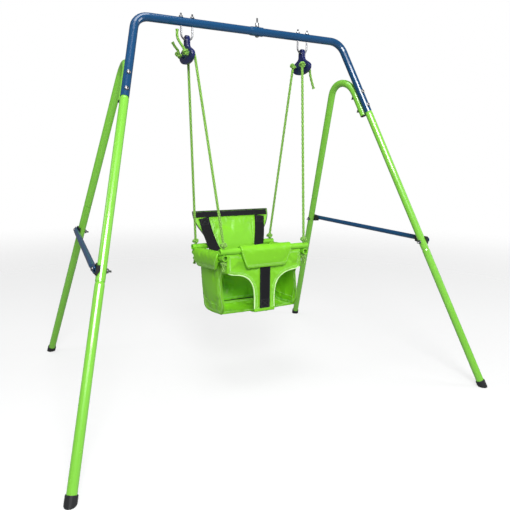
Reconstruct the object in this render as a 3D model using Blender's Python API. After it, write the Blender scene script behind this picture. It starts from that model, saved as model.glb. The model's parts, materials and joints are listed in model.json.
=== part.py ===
import math

import bmesh
import bpy
from mathutils import Vector

# A toddler swing on its own stand. X runs along the crossbar, -Y is the side the child
# faces, Z is up and the floor is z = 0. All sizes are in metres.

# Stand
BAR_HEIGHT = 1.190            # crossbar centre line above the floor
BAR_HALF_LENGTH = 0.3706      # middle of the stand to the corner where bar and leg meet
FRONT_FEET_HALF_WIDTH = 0.6957
REAR_FEET_HALF_WIDTH = 0.5902
STAND_DEPTH = 1.0518          # front feet to rear feet
BAR_TO_FRONT_FEET = 0.4674    # how far the front feet stand ahead of the crossbar
TUBE_RADIUS = 0.0127
TUBE_WALL = 0.0012
CORNER_BEND = 0.050           # centre-line radius where the crossbar turns into a leg

# Joints between the stand's tubes, as distances along a leg from its top corner
LEG_BOLTS_AT = (0.195, 0.246)
BAR_ENDS_AT = 0.268
FRONT_SEAM_AT = 0.795
FRONT_BRACE_AT = 0.765
INSERT_LENGTH = 0.110         # reduced tube end that slides into the next tube
BAR_JOIN_X = 0.034            # the bolt that joins the two crossbar halves
BELL_LENGTH = 0.040           # widened end of the left half, around the right half
BELL_WALL = 0.0014

# Hook at the top of each rear leg
HOOK_ARM_END_AT = 0.270
HOOK_BEND_AT = 0.184
HOOK_BEND = 0.066
REAR_SEAM_FROM_FOOT = 0.692   # distances up the rear leg
REAR_BRACE_FROM_FOOT = 0.590

# Braces
BRACE_RADIUS = 0.0085
BRACE_WALL = 0.0010
BRACE_FLAT_HALF = 0.0034      # half thickness of the pressed ends
BRACE_FLAT_WIDE = 0.0105      # half width of the pressed ends
BRACE_PRESSED = 0.036         # from the bolt to where the brace is round again
SADDLE_WEB = 0.0030
SADDLE_WALL = 0.0010          # the cradle's wall beside the leg
SADDLE_REACH = 0.038
SADDLE_HALF = 0.0130
SADDLE_TAPER = 0.0035

# Fasteners
BOLT_RADIUS = 0.0030
BOLT_HEAD = 0.0066
NUT_RADIUS = 0.0058
NUT_HEIGHT = 0.0050
THREAD_SHOWN = 0.0070
JOIN_NUT_HEIGHT = 0.0120      # the taller nut on the bolt that joins the crossbar halves
JOIN_THREAD = 0.0150

# Feet
FOOT_WALL = 0.0025
FOOT_HEIGHT = 0.024
FOOT_SOLE = 0.003

# Hangers
HANGER_X = 0.2115             # middle of the stand to the middle of a hanger
U_BEND = 0.0185               # centre-line radius, and half the space between the legs
U_ROD = 0.0028
U_DROP = 0.053                # crossbar centre line down to the rod's lowest point
EYE_ROOM = 0.0017             # radial room of the rod in the hanger's eye
HANGER_THICK = 0.012
HANGER_EDGE = 0.0012
EYE_OUTER = 0.0155
# half of the hanger's outline below its eye, as (half width, height from the eye)
HANGER_OUTLINE = [(0.0138, -0.004), (0.0138, -0.014), (0.020, -0.021), (0.034, -0.028), (0.048, -0.036),
                  (0.0535, -0.044), (0.050, -0.054), (0.036, -0.0635), (0.018, -0.0685), (0.0, -0.070)]

# Ropes
ROPE_RADIUS = 0.004
ROPE_HOLE_SPACING = 0.058
ROPE_HOLE_DROP = 0.040        # below the eye
ROPE_HOLE_ROOM = 0.0005
KNOT_WIDE = 0.0105
KNOT_TALL = 0.0105
STOP_KNOT = 0.8               # size of the knots under the seat against those above it
# a rope that comes through its hole has turned down this far in from the hanger and below the hole
ROPE_TURN = (0.0090, 0.0140)
# the loose ends beyond the hangers' outer faces, as steps (outward, y, z) from the hole
TAILS = {
    ("left", "front"): [(0.0175, -0.001, 0.012), (0.031, -0.001, 0.030), (0.0365, -0.001, 0.043),
                        (0.0365, -0.001, 0.063)],
    ("left", "back"): [(0.0120, 0.0, 0.012), (0.0225, 0.001, 0.025), (0.0305, 0.001, 0.037)],
    ("right", "front"): [(0.0105, 0.004, -0.012), (0.0180, 0.007, -0.038), (0.0330, 0.009, -0.075)],
    ("right", "back"): [(0.0100, 0.001, -0.004), (0.0180, 0.002, -0.016)],
}

# Seat bars
SEAT_HALF_WIDTH = 0.150       # ropes, left and right
SEAT_DEPTH = 0.230            # ropes, front and back
SEAT_AHEAD = 0.0165           # the seat's middle hangs this far ahead of the crossbar
FRONT_BAR_DROP = 0.698        # below the crossbar
BACK_BAR_DROP = 0.716
SEAT_BAR_RADIUS = 0.010
SEAT_BAR_WALL = 0.0025
SEAT_BAR_PAST_ROPE = 0.0135

# Seat covers
CLOTH = 0.004
COVER_UNDER = 0.0042          # cover below a bar's bore
PAD_THICK = 0.0057            # cover around the front bar
SLEEVE_THICK = 0.0087         # cover around a side bar
COVER_BELLY = 0.024           # the flap keeps its full thickness down to here
COVER_HEM = 0.0135            # outer face of the hem from the bar's axis
PAD_DROP = 0.057              # from a bar's centre down to its cover's hem
SLEEVE_DROP = 0.041
SLEEVE_TAPER = 0.022          # the sleeve's hem is this much shorter at each end
PAD_TOP_HALF = 0.096
PAD_HEM_HALF = 0.074

# Seat panels
BASE_DROP = 0.211             # from the front bar's centre down to the base's underside
BACK_RISE = 0.102             # from the front bar's centre up to the backrest's top
BACK_LEAN = 0.33              # the backrest's run for each unit of rise, above the back bar
BACK_LEAN_LOW = 0.21          # and below it
SIDE_PANEL_IN = 0.0125        # inner face of a side panel from the side bar's axis
LEG_HALF = 0.037              # half width of the front panel between the legs
# half widths of the backrest, as (height below its top, half width)
BACK_HALF = [(0.0, 0.150), (0.024, 0.148), (0.049, 0.138), (0.074, 0.122), (0.099, 0.109), (0.120, 0.104),
             (0.164, 0.105), (0.204, 0.115), (0.244, 0.128), (0.280, 0.134)]
# the base from the front panel to the backrest, as (share of the way, height above its underside in front)
BASE_PROFILE = [(0.0, 0.0), (0.10, -0.003), (0.22, -0.005), (0.36, -0.008), (0.64, -0.014), (0.86, -0.015),
                (0.95, -0.011), (1.0, -0.005)]
# the leg opening in a side panel's front edge, as (y from the front bar, height below its centre)
LEG_OPENING = [(0.030, 0.072), (0.038, 0.096), (0.029, 0.143), (0.020, 0.172), (0.018, 0.190)]
# half of the front panel's lower edge, as (half width, height below the front bar's centre)
FRONT_EDGE = [(0.134, 0.0715), (0.120, 0.0775), (0.084, 0.083), (0.057, 0.099), (0.042, 0.125),
              (LEG_HALF, 0.159)]

# Straps and buckle
WEBBING = 0.0020
WEBBING_HALF = 0.019
TAB_HALF = 0.0115
STRAP_END_HALF = 0.0120       # a shoulder strap gathered into the tongue
BUCKLE_BEHIND = 0.030         # the socket's near end, behind the front bar
BUCKLE_RISE = 0.0055          # and above its centre
SOCKET_LENGTH = 0.036
SOCKET_HALF = 0.0175
SOCKET_DEEP = 0.0066          # half thickness
SLOT_HALF = 0.0125
SLOT_DEEP = 0.0025            # half height
TONGUE_SHOWN = 0.020
TONGUE_HALF = 0.0260
BUTTON_HALF = 0.0060
BUTTON_AT = (0.012, 0.026)    # along the socket
BUTTON_PROUD = 0.0012
BUTTON_TRAVEL = 0.0015
BUTTON_SKIRT = 0.0012         # how far the button reaches below the socket's face

GAP = 0.0003                  # left between two solids that touch
BORE = 0.0003                 # radial room of a bolt, rod or rope in its hole
SIDES = 16
SMALL_SIDES = 12

GREEN_PAINT = ((0.20, 0.58, 0.04), 0.30)
BLUE_PAINT = ((0.02, 0.13, 0.42), 0.22)
STEEL = ((0.55, 0.56, 0.57), 0.35, 1.0)
BLACK_PLASTIC = ((0.012, 0.013, 0.015), 0.45)
NAVY_PLASTIC = ((0.012, 0.018, 0.085), 0.30)
ROPE_GREEN = ((0.27, 0.60, 0.10), 0.80)
GREEN_PLASTIC = ((0.24, 0.62, 0.05), 0.40)
VINYL = ((0.28, 0.68, 0.04), 0.45)
BLACK_WEBBING = ((0.016, 0.016, 0.020), 0.80)

# What follows from the sizes above
BAR_Y = BAR_TO_FRONT_FEET - STAND_DEPTH / 2
REDUCED_RADIUS = TUBE_RADIUS - TUBE_WALL - GAP
FOOT_RADIUS = TUBE_RADIUS + GAP + FOOT_WALL
BRACE_PAST_BOLT = TUBE_RADIUS + GAP + SADDLE_WALL
BRACE_OUT = TUBE_RADIUS + GAP + SADDLE_WEB + GAP + BRACE_FLAT_HALF
U_BOTTOM = BAR_HEIGHT - U_DROP
EYE_RADIUS = U_ROD + EYE_ROOM
SEAT_Y = BAR_Y - SEAT_AHEAD
FRONT_Y = SEAT_Y - SEAT_DEPTH / 2
BACK_Y = SEAT_Y + SEAT_DEPTH / 2
FRONT_BAR_Z = BAR_HEIGHT - FRONT_BAR_DROP
BACK_BAR_Z = BAR_HEIGHT - BACK_BAR_DROP
SIDE_BAR_DROP = 2 * SEAT_BAR_RADIUS + GAP
UNDER_COVER = SEAT_BAR_RADIUS + GAP + COVER_UNDER
FLAP_INNER = CLOTH / 2 + GAP + WEBBING + 4 * GAP
SEAT_BOTTOM = FRONT_BAR_Z - BASE_DROP
BACK_TOP = FRONT_BAR_Z + BACK_RISE
BACK_BOTTOM = SEAT_BOTTOM + BASE_PROFILE[-1][1] + CLOTH + GAP
SIDE_PANEL_X = SEAT_HALF_WIDTH - SIDE_PANEL_IN
X_AXIS = Vector((1, 0, 0))
Y_AXIS = Vector((0, 1, 0))
Z_AXIS = Vector((0, 0, 1))
BUCKLE_TILT = Vector((0, 0.93, -0.37)).normalized()


def remove_everything():
    for thing in list(bpy.data.objects):
        bpy.data.objects.remove(thing, do_unlink=True)


def material(name, colour, roughness, metallic=0.0):
    made = bpy.data.materials.new(name)
    made.use_nodes = True
    shader = made.node_tree.nodes["Principled BSDF"]
    shader.inputs["Base Color"].default_value = (*colour, 1.0)
    shader.inputs["Roughness"].default_value = roughness
    shader.inputs["Metallic"].default_value = metallic
    return made


def new_object(name, mesh_data, colour, smooth_angle=35):
    bmesh.ops.recalc_face_normals(mesh_data, faces=mesh_data.faces)
    mesh = bpy.data.meshes.new(name)
    mesh_data.to_mesh(mesh)
    mesh_data.free()
    mesh.shade_smooth()
    mesh.set_sharp_from_angle(angle=math.radians(smooth_angle))
    thing = bpy.data.objects.new(name, mesh)
    bpy.context.scene.collection.objects.link(thing)
    if colour:
        shade = material(name, *colour)
        mesh.materials.append(shade)
    return thing


def perpendicular(direction):
    helper = X_AXIS if abs(direction.x) < 0.8 else Y_AXIS
    return direction.cross(helper).normalized()


def ring(mesh_data, centre, first, second, sides):
    verts = []
    for step in range(sides):
        turn = 2 * math.pi * step / sides
        verts.append(mesh_data.verts.new(centre + first * math.cos(turn) + second * math.sin(turn)))
    return verts


def hex_ring(mesh_data, centre, first, second, sides):
    # a hexagon with as many points as the round rings beside it, every other one on a corner
    verts = []
    for step in range(sides):
        turn = 2 * math.pi * step / sides
        reach = 1 if step % 2 == 0 else math.cos(math.pi / 6)
        verts.append(mesh_data.verts.new(centre + (first * math.cos(turn) + second * math.sin(turn)) * reach))
    return verts


def join_rings(mesh_data, rings, closed):
    pairs = list(zip(rings, rings[1:]))
    if closed:
        pairs.append((rings[-1], rings[0]))
    for one, two in pairs:
        for step in range(len(one)):
            after = (step + 1) % len(one)
            mesh_data.faces.new((one[step], one[after], two[after], two[step]))
    if not closed:
        mesh_data.faces.new(rings[0])
        mesh_data.faces.new(rings[-1])


def tangents(points):
    found = []
    for index in range(len(points)):
        before = points[max(index - 1, 0)]
        after = points[min(index + 1, len(points) - 1)]
        found.append((after - before).normalized())
    return found


def planar_rings(mesh_data, stations, across, sides, hexagon_over=math.inf):
    # stations are (point, half size along across, half size in the path's plane)
    rings = []
    points = [station[0] for station in stations]
    for (point, wide, deep), tangent in zip(stations, tangents(points)):
        second = tangent.cross(across).normalized()
        draw = hex_ring if wide > hexagon_over else ring
        rings.append(draw(mesh_data, point, across * wide, second * deep, sides))
    return rings


def hollow_tube(mesh_data, outer, inner, across, sides=SIDES):
    rings = planar_rings(mesh_data, outer, across, sides)
    rings += planar_rings(mesh_data, inner, across, sides)[::-1]
    join_rings(mesh_data, rings, closed=True)


def turned(mesh_data, base, axis, profile, sides=SMALL_SIDES):
    # profile is (distance along the axis, radius); a third value of True makes that ring a hexagon
    axis = axis.normalized()
    first = perpendicular(axis)
    second = axis.cross(first)
    rings = []
    for along, radius, *hexagon in profile:
        draw = hex_ring if hexagon else ring
        rings.append(draw(mesh_data, base + axis * along, first * radius, second * radius, sides))
    join_rings(mesh_data, rings, closed=False)


def smooth_path(points, step):
    # Catmull-Rom curve through the points, cut to about equal steps
    padded = [points[0] * 2 - points[1]] + list(points) + [points[-1] * 2 - points[-2]]
    path = [points[0]]
    for index in range(1, len(padded) - 2):
        before, start, end, after = padded[index - 1:index + 3]
        pieces = max(1, round((end - start).length / step))
        for piece in range(1, pieces + 1):
            t = piece / pieces
            curve = (start * 2 + (end - before) * t
                     + (before * 2 - start * 5 + end * 4 - after) * t * t
                     + (start * 3 - before - end * 3 + after) * t * t * t)
            path.append(curve * 0.5)
    return path


def cord(mesh_data, path, radius, sides=8):
    rings = []
    first = None
    for point, tangent in zip(path, tangents(path)):
        if first is None:
            first = perpendicular(tangent)
        first = (first - tangent * first.dot(tangent)).normalized()
        rings.append(ring(mesh_data, point, first * radius, tangent.cross(first) * radius, sides))
    join_rings(mesh_data, rings, closed=False)


def cutter(name, holes):
    mesh_data = bmesh.new()
    for start, end, radius in holes:
        turned(mesh_data, start, end - start, [(0, radius), ((end - start).length, radius)])
    tool = new_object(name, mesh_data, None)
    tool.hide_render = True
    tool.display_type = "WIRE"
    return tool


def cut(thing, tool):
    boolean = thing.modifiers.new("holes", "BOOLEAN")
    boolean.operation = "DIFFERENCE"
    boolean.solver = "EXACT"
    boolean.object = tool


def fastener(name, seat, axis, grip, nut_height=NUT_HEIGHT, thread=THREAD_SHOWN):
    # a domed bolt with its nut: the head outside the seat, the shank, the nut beyond the grip, the thread
    nut_at = grip + GAP
    nut_end = nut_at + nut_height
    end = nut_end + thread
    mesh_data = bmesh.new()
    turned(mesh_data, seat, axis, [(-0.0040, 0.0030), (-0.0024, BOLT_HEAD * 0.87), (0, BOLT_HEAD),
                                   (0, BOLT_RADIUS), (nut_at, BOLT_RADIUS), (nut_at, NUT_RADIUS, True),
                                   (nut_end, NUT_RADIUS, True), (nut_end, BOLT_RADIUS), (end, BOLT_RADIUS)])
    new_object(name, mesh_data, STEEL)


class Side:
    # the places and directions of one side of the stand; sign is -1 on the left, 1 on the right
    def __init__(self, name, sign):
        self.name = name
        self.sign = sign
        self.corner = Vector((sign * BAR_HALF_LENGTH, BAR_Y, BAR_HEIGHT))
        self.front_foot = Vector((sign * FRONT_FEET_HALF_WIDTH, -STAND_DEPTH / 2, 0))
        self.rear_foot = Vector((sign * REAR_FEET_HALF_WIDTH, STAND_DEPTH / 2, 0))
        self.down = (self.front_foot - self.corner).normalized()
        to_rear = self.rear_foot - self.corner
        self.back = (to_rear - self.down * to_rear.dot(self.down)).normalized()
        self.out = self.down.cross(self.back) * sign
        if self.out.x * sign < 0:
            self.out = -self.out
        self.plan_hook()

    def at(self, along, off, out=0.0):
        return self.corner + self.down * along + self.back * off + self.out * out

    def plan_hook(self):
        # the hook's short arm lies against the front leg; its bend ends tangent to the rear leg
        self.arm_off = 2 * TUBE_RADIUS + GAP
        self.bend_centre = (HOOK_BEND_AT, self.arm_off + HOOK_BEND)
        to_rear = self.rear_foot - self.corner
        foot = (to_rear.dot(self.down), to_rear.dot(self.back))
        run = foot[0] - self.bend_centre[0]
        rise = foot[1] - self.bend_centre[1]
        reach = math.hypot(run, rise)
        leg_angle = math.atan2(rise, run) - math.asin(HOOK_BEND / reach)
        self.bend_turn = math.pi - leg_angle
        self.rear_length = math.sqrt(reach * reach - HOOK_BEND * HOOK_BEND)
        self.rear_down = self.down * math.cos(leg_angle) + self.back * math.sin(leg_angle)

    def hook_point(self, turn):
        angle = -math.pi / 2 - turn
        along = self.bend_centre[0] + HOOK_BEND * math.cos(angle)
        off = self.bend_centre[1] + HOOK_BEND * math.sin(angle)
        return self.at(along, off)

    def up_rear(self, distance):
        return self.rear_foot - self.rear_down * distance

    def brace_ends(self):
        return self.at(FRONT_BRACE_AT, 0), self.up_rear(REAR_BRACE_FROM_FOOT)


SIDE_LIST = [Side("left", -1), Side("right", 1)]

def leg_end(down):
    # how far above its foot point a tube stops, so that the foot's sole fits under it
    drop = TUBE_RADIUS * math.hypot(down.x, down.y)
    return (drop + FOOT_SOLE + GAP) / -down.z


def round_stations(points, radius):
    return [(point, radius, radius) for point in points]


def bolt_tool(side):
    holes = []
    for along in LEG_BOLTS_AT:
        holes.append((side.at(along, -0.03), side.at(along, 0.06), BOLT_RADIUS + BORE))
    for centre in side.brace_ends():
        holes.append((centre - side.out * 0.03, centre + side.out * 0.04, BOLT_RADIUS + BORE))
    return cutter("bolt_holes_" + side.name, holes)


def bar_tool():
    holes = []
    for centre_x in (-HANGER_X, HANGER_X):
        for leg_x in (centre_x - U_BEND, centre_x + U_BEND):
            low = Vector((leg_x, BAR_Y, BAR_HEIGHT - 0.03))
            holes.append((low, low + Z_AXIS * 0.06, U_ROD + BORE))
    low = Vector((BAR_JOIN_X, BAR_Y, BAR_HEIGHT - 0.03))
    holes.append((low, low + Z_AXIS * 0.06, BOLT_RADIUS + BORE))
    return cutter("crossbar_holes", holes)


def crossbar_half(side, bar_holes, leg_holes):
    # along the bar, round the corner and a short way down the front leg
    along_bar = X_AXIS * side.sign
    turn = along_bar.angle(side.down)
    bend_in = CORNER_BEND * math.tan(turn / 2)
    across = along_bar.cross(side.down).normalized()
    centre = side.corner - along_bar * bend_in - across.cross(along_bar) * -CORNER_BEND
    inner_way = across.cross(along_bar)
    points = []
    for step in range(8):
        angle = turn * step / 7
        points.append(centre + (-inner_way * math.cos(angle) + along_bar * math.sin(angle)) * CORNER_BEND)
    points.append(side.at(BAR_ENDS_AT, 0))
    bell_start = BAR_JOIN_X - BELL_LENGTH / 2
    bell_end = BAR_JOIN_X + BELL_LENGTH / 2
    bore = TUBE_RADIUS - TUBE_WALL
    bell_bore = TUBE_RADIUS + GAP
    bell = bell_bore + BELL_WALL

    def on_bar(x):
        return Vector((x, BAR_Y, BAR_HEIGHT))

    if side.sign < 0:
        outer = [(on_bar(bell_end), bell, bell), (on_bar(bell_start), bell, bell),
                 (on_bar(bell_start - 0.008), TUBE_RADIUS, TUBE_RADIUS)]
        inner = [(on_bar(bell_end), bell_bore, bell_bore), (on_bar(bell_start), bell_bore, bell_bore),
                 (on_bar(bell_start - 0.008), bore, bore)]
    else:
        outer = round_stations([on_bar(bell_start + 0.002)], TUBE_RADIUS)
        inner = round_stations([on_bar(bell_start + 0.002)], bore)
    mesh_data = bmesh.new()
    hollow_tube(mesh_data, outer + round_stations(points, TUBE_RADIUS),
                inner + round_stations(points, bore), across)
    bar = new_object("crossbar_" + side.name, mesh_data, BLUE_PAINT)
    cut(bar, bar_holes)
    cut(bar, leg_holes)


def crossbar_bolt():
    bell = TUBE_RADIUS + GAP + BELL_WALL
    seat = Vector((BAR_JOIN_X, BAR_Y, BAR_HEIGHT - bell - GAP))
    fastener("crossbar_bolt", seat, Z_AXIS, 2 * bell + GAP, JOIN_NUT_HEIGHT, JOIN_THREAD)


def stepped_leg(name, points, reduced_from, direction, across, leg_holes):
    # points run from the reduced end; the tube widens again at reduced_from
    start, end = points
    shoulder = reduced_from + direction * 0.006
    radii = [(start, REDUCED_RADIUS), (reduced_from, REDUCED_RADIUS), (shoulder, TUBE_RADIUS),
             (end, TUBE_RADIUS)]
    outer = [(point, radius, radius) for point, radius in radii]
    inner = [(point, radius - TUBE_WALL, radius - TUBE_WALL) for point, radius in radii]
    mesh_data = bmesh.new()
    hollow_tube(mesh_data, outer, inner, across)
    leg = new_object(name, mesh_data, GREEN_PAINT)
    cut(leg, leg_holes)


def front_leg(side, leg_holes):
    insert_top = side.at(BAR_ENDS_AT - INSERT_LENGTH, 0)
    seam = side.at(FRONT_SEAM_AT, 0)
    stepped_leg("front_leg_upper_" + side.name, (insert_top, seam), side.at(BAR_ENDS_AT + 0.001, 0),
                side.down, side.out, leg_holes)
    lower_top = side.at(FRONT_SEAM_AT - INSERT_LENGTH, 0)
    foot_end = side.front_foot - side.down * leg_end(side.down)
    stepped_leg("front_leg_lower_" + side.name, (lower_top, foot_end), side.at(FRONT_SEAM_AT + 0.001, 0),
                side.down, side.out, leg_holes)


def rear_leg(side, leg_holes):
    points = [side.at(HOOK_ARM_END_AT, side.arm_off)]
    steps = 10
    for step in range(steps + 1):
        points.append(side.hook_point(side.bend_turn * step / steps))
    seam = side.up_rear(REAR_SEAM_FROM_FOOT)
    outer = round_stations(points, TUBE_RADIUS)
    inner = round_stations(points, TUBE_RADIUS - TUBE_WALL)
    for distance, radius in ((REAR_SEAM_FROM_FOOT + 0.007, TUBE_RADIUS),
                             (REAR_SEAM_FROM_FOOT + 0.001, REDUCED_RADIUS),
                             (REAR_SEAM_FROM_FOOT - INSERT_LENGTH - 0.02, REDUCED_RADIUS)):
        outer.append((side.up_rear(distance), radius, radius))
        inner.append((side.up_rear(distance), radius - TUBE_WALL, radius - TUBE_WALL))
    mesh_data = bmesh.new()
    hollow_tube(mesh_data, outer, inner, side.out)
    cut(new_object("rear_leg_upper_" + side.name, mesh_data, GREEN_PAINT), leg_holes)
    ends = [seam, side.rear_foot - side.rear_down * leg_end(side.rear_down)]
    mesh_data = bmesh.new()
    hollow_tube(mesh_data, round_stations(ends, TUBE_RADIUS), round_stations(ends, TUBE_RADIUS - TUBE_WALL),
                side.out)
    cut(new_object("rear_leg_lower_" + side.name, mesh_data, GREEN_PAINT), leg_holes)


def hook_plug(side):
    # a domed plastic plug in the open end of the hook's short arm
    bore = TUBE_RADIUS - TUBE_WALL - GAP
    mesh_data = bmesh.new()
    turned(mesh_data, side.at(HOOK_ARM_END_AT, side.arm_off), side.down,
           [(-0.010, bore), (GAP, bore), (GAP, TUBE_RADIUS), (0.0020, TUBE_RADIUS),
            (0.0038, TUBE_RADIUS * 0.75)], SIDES)
    new_object("hook_plug_" + side.name, mesh_data, BLACK_PLASTIC)


def leg_bolts(side):
    grip = TUBE_RADIUS * 2 + side.arm_off + GAP
    for place, along in zip(("upper", "lower"), LEG_BOLTS_AT):
        fastener("leg_bolt_" + place + "_" + side.name, side.at(along, -TUBE_RADIUS - GAP), side.back, grip)


def side_brace(side, leg_holes):
    front, rear = [centre + side.out * BRACE_OUT for centre in side.brace_ends()]
    along = (rear - front).normalized()
    span = (rear - front).length
    flat = (BRACE_FLAT_HALF, BRACE_FLAT_WIDE)
    middle = (BRACE_RADIUS, BRACE_RADIUS)
    shapes = [(-BRACE_PAST_BOLT, (BRACE_FLAT_HALF, 0.0065)), (-BRACE_PAST_BOLT + 0.0045, flat),
              (BRACE_PAST_BOLT, flat), (BRACE_PRESSED, middle)]
    stations = shapes + [(span - distance, size) for distance, size in shapes[::-1]]
    outer = [(front + along * distance, *size) for distance, size in stations]
    inner = [(point, wide - BRACE_WALL, deep - BRACE_WALL) for point, wide, deep in outer]
    mesh_data = bmesh.new()
    hollow_tube(mesh_data, outer, inner, side.out, SMALL_SIDES)
    cut(new_object("side_brace_" + side.name, mesh_data, BLUE_PAINT), leg_holes)


def saddle_wedge(mesh_data, side, centre, along):
    # a plate under the brace's pressed end that thickens into a cradle for the leg
    across = side.out.cross(along).normalized()
    low = TUBE_RADIUS * 0.45
    high = TUBE_RADIUS + GAP + SADDLE_WEB
    half = SADDLE_HALF
    tip = BRACE_OUT - BRACE_RADIUS - 3 * GAP
    profile = [(-BRACE_PAST_BOLT, low, half), (BRACE_PAST_BOLT, low, half),
               (SADDLE_REACH, tip - SADDLE_WEB, half - SADDLE_TAPER), (SADDLE_REACH, tip, half - SADDLE_TAPER),
               (BRACE_PAST_BOLT, high, half), (-BRACE_PAST_BOLT, high, half)]
    walls = []
    for hand in (1, -1):
        walls.append([mesh_data.verts.new(centre + along * run + side.out * rise + across * (wide * hand))
                      for run, rise, wide in profile])
    join_rings(mesh_data, walls, closed=False)
    bmesh.ops.triangulate(mesh_data, faces=[face for face in mesh_data.faces if len(face.verts) > 4])


def brace_saddles(side, leg_holes):
    front, rear = side.brace_ends()
    along = (rear - front).normalized()
    for place, centre, inward, leg in (("front", front, along, side.down),
                                       ("rear", rear, -along, side.rear_down)):
        mesh_data = bmesh.new()
        saddle_wedge(mesh_data, side, centre, inward)
        saddle = new_object("brace_saddle_" + place + "_" + side.name, mesh_data, BLACK_PLASTIC)
        radius = (TUBE_RADIUS + GAP) / math.cos(math.pi / SMALL_SIDES)
        cradle = (centre - leg * 0.04, centre + leg * 0.04, radius)
        cut(saddle, cutter("cradle_" + place + "_" + side.name, [cradle]))
        cut(saddle, leg_holes)


def brace_bolts(side):
    head = BRACE_OUT + BRACE_FLAT_HALF + GAP
    for place, centre in zip(("front", "rear"), side.brace_ends()):
        name = "brace_bolt_" + place + "_" + side.name
        fastener(name, centre + side.out * head, -side.out, head + TUBE_RADIUS)


def foot_cap(name, foot, down):
    # a cap on the leg's own axis, whose sole lies flat on the floor
    first = perpendicular(down)
    second = down.cross(first)
    top = foot - down * FOOT_HEIGHT
    floor_of_bore = foot - down * (leg_end(down) - GAP)
    mesh_data = bmesh.new()

    def level_ring(radius, height):
        verts = []
        for step in range(SIDES):
            turn = 2 * math.pi * step / SIDES
            spoke = foot + (first * math.cos(turn) + second * math.sin(turn)) * radius
            verts.append(mesh_data.verts.new(spoke + down * ((height - spoke.z) / down.z)))
        return verts

    bore = TUBE_RADIUS + GAP
    rings = [ring(mesh_data, floor_of_bore, first * bore, second * bore, SIDES),
             ring(mesh_data, top, first * bore, second * bore, SIDES),
             ring(mesh_data, top, first * (FOOT_RADIUS - 0.0008), second * (FOOT_RADIUS - 0.0008), SIDES),
             ring(mesh_data, top + down * 0.0012, first * FOOT_RADIUS, second * FOOT_RADIUS, SIDES),
             level_ring(FOOT_RADIUS, 0.0035), level_ring(FOOT_RADIUS - 0.0010, 0.0009),
             level_ring(FOOT_RADIUS - 0.0028, 0)]
    join_rings(mesh_data, rings, closed=False)
    new_object(name, mesh_data, BLACK_PLASTIC)


def u_bolt(side):
    # a bent rod with a nut on each threaded leg, above the crossbar
    centre = Vector((side.sign * HANGER_X, BAR_Y, U_BOTTOM + U_BEND))
    nut_low = BAR_HEIGHT + TUBE_RADIUS + GAP
    nut_high = nut_low + NUT_HEIGHT
    top = nut_high + THREAD_SHOWN
    leg = [(top, U_ROD), (nut_high, U_ROD), (nut_high, NUT_RADIUS), (nut_low, NUT_RADIUS), (nut_low, U_ROD)]
    stations = [(Vector((centre.x - U_BEND, BAR_Y, height)), radius, radius) for height, radius in leg]
    for step in range(9):
        turn = math.pi * step / 8
        point = centre - X_AXIS * (U_BEND * math.cos(turn)) - Z_AXIS * (U_BEND * math.sin(turn))
        stations.append((point, U_ROD, U_ROD))
    stations += [(Vector((centre.x + U_BEND, BAR_Y, height)), radius, radius) for height, radius in leg[::-1]]
    mesh_data = bmesh.new()
    rings = planar_rings(mesh_data, stations, Y_AXIS, SMALL_SIDES, hexagon_over=U_ROD)
    join_rings(mesh_data, rings, closed=False)
    new_object("u_bolt_" + side.name, mesh_data, STEEL)


def hanger(side):
    eye = Vector((side.sign * HANGER_X, BAR_Y, U_BOTTOM))
    outline = []
    for step in range(9):
        turn = math.pi * step / 8
        outline.append((EYE_OUTER * math.cos(turn) * 0.93, EYE_OUTER * math.sin(turn)))
    outline += [(-wide, height) for wide, height in HANGER_OUTLINE]
    outline += HANGER_OUTLINE[-2::-1]
    mesh_data = bmesh.new()
    rings = []
    half = HANGER_THICK / 2
    for x, shrink in ((-half, 0.975), (HANGER_EDGE - half, 1), (half - HANGER_EDGE, 1), (half, 0.975)):
        middle = HANGER_OUTLINE[-1][1] / 2 * (1 - shrink)
        rings.append([mesh_data.verts.new(eye + Vector((x, y * shrink, z * shrink + middle))) for y, z in outline])
    join_rings(mesh_data, rings, closed=False)
    plate = new_object("hanger_" + side.name, mesh_data, NAVY_PLASTIC)
    holes = [(eye - X_AXIS * 0.02, eye + X_AXIS * 0.02, EYE_RADIUS)]
    for hand in (-1, 1):
        hole = eye + Vector((0, hand * ROPE_HOLE_SPACING / 2, -ROPE_HOLE_DROP))
        holes.append((hole - X_AXIS * 0.02, hole + X_AXIS * 0.02, ROPE_RADIUS + ROPE_HOLE_ROOM))
    cut(plate, cutter("hanger_holes_" + side.name, holes))


def knot(mesh_data, centre, wide, tall, sides=10):
    # a rounded lump the size of an overhand knot
    rings = []
    for step in range(1, 6):
        turn = math.pi * step / 6
        size = wide * math.sin(turn)
        middle = centre + Z_AXIS * (tall * math.cos(turn))
        rings.append(ring(mesh_data, middle, X_AXIS * size, Y_AXIS * size, sides))
    join_rings(mesh_data, rings, closed=False)


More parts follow.
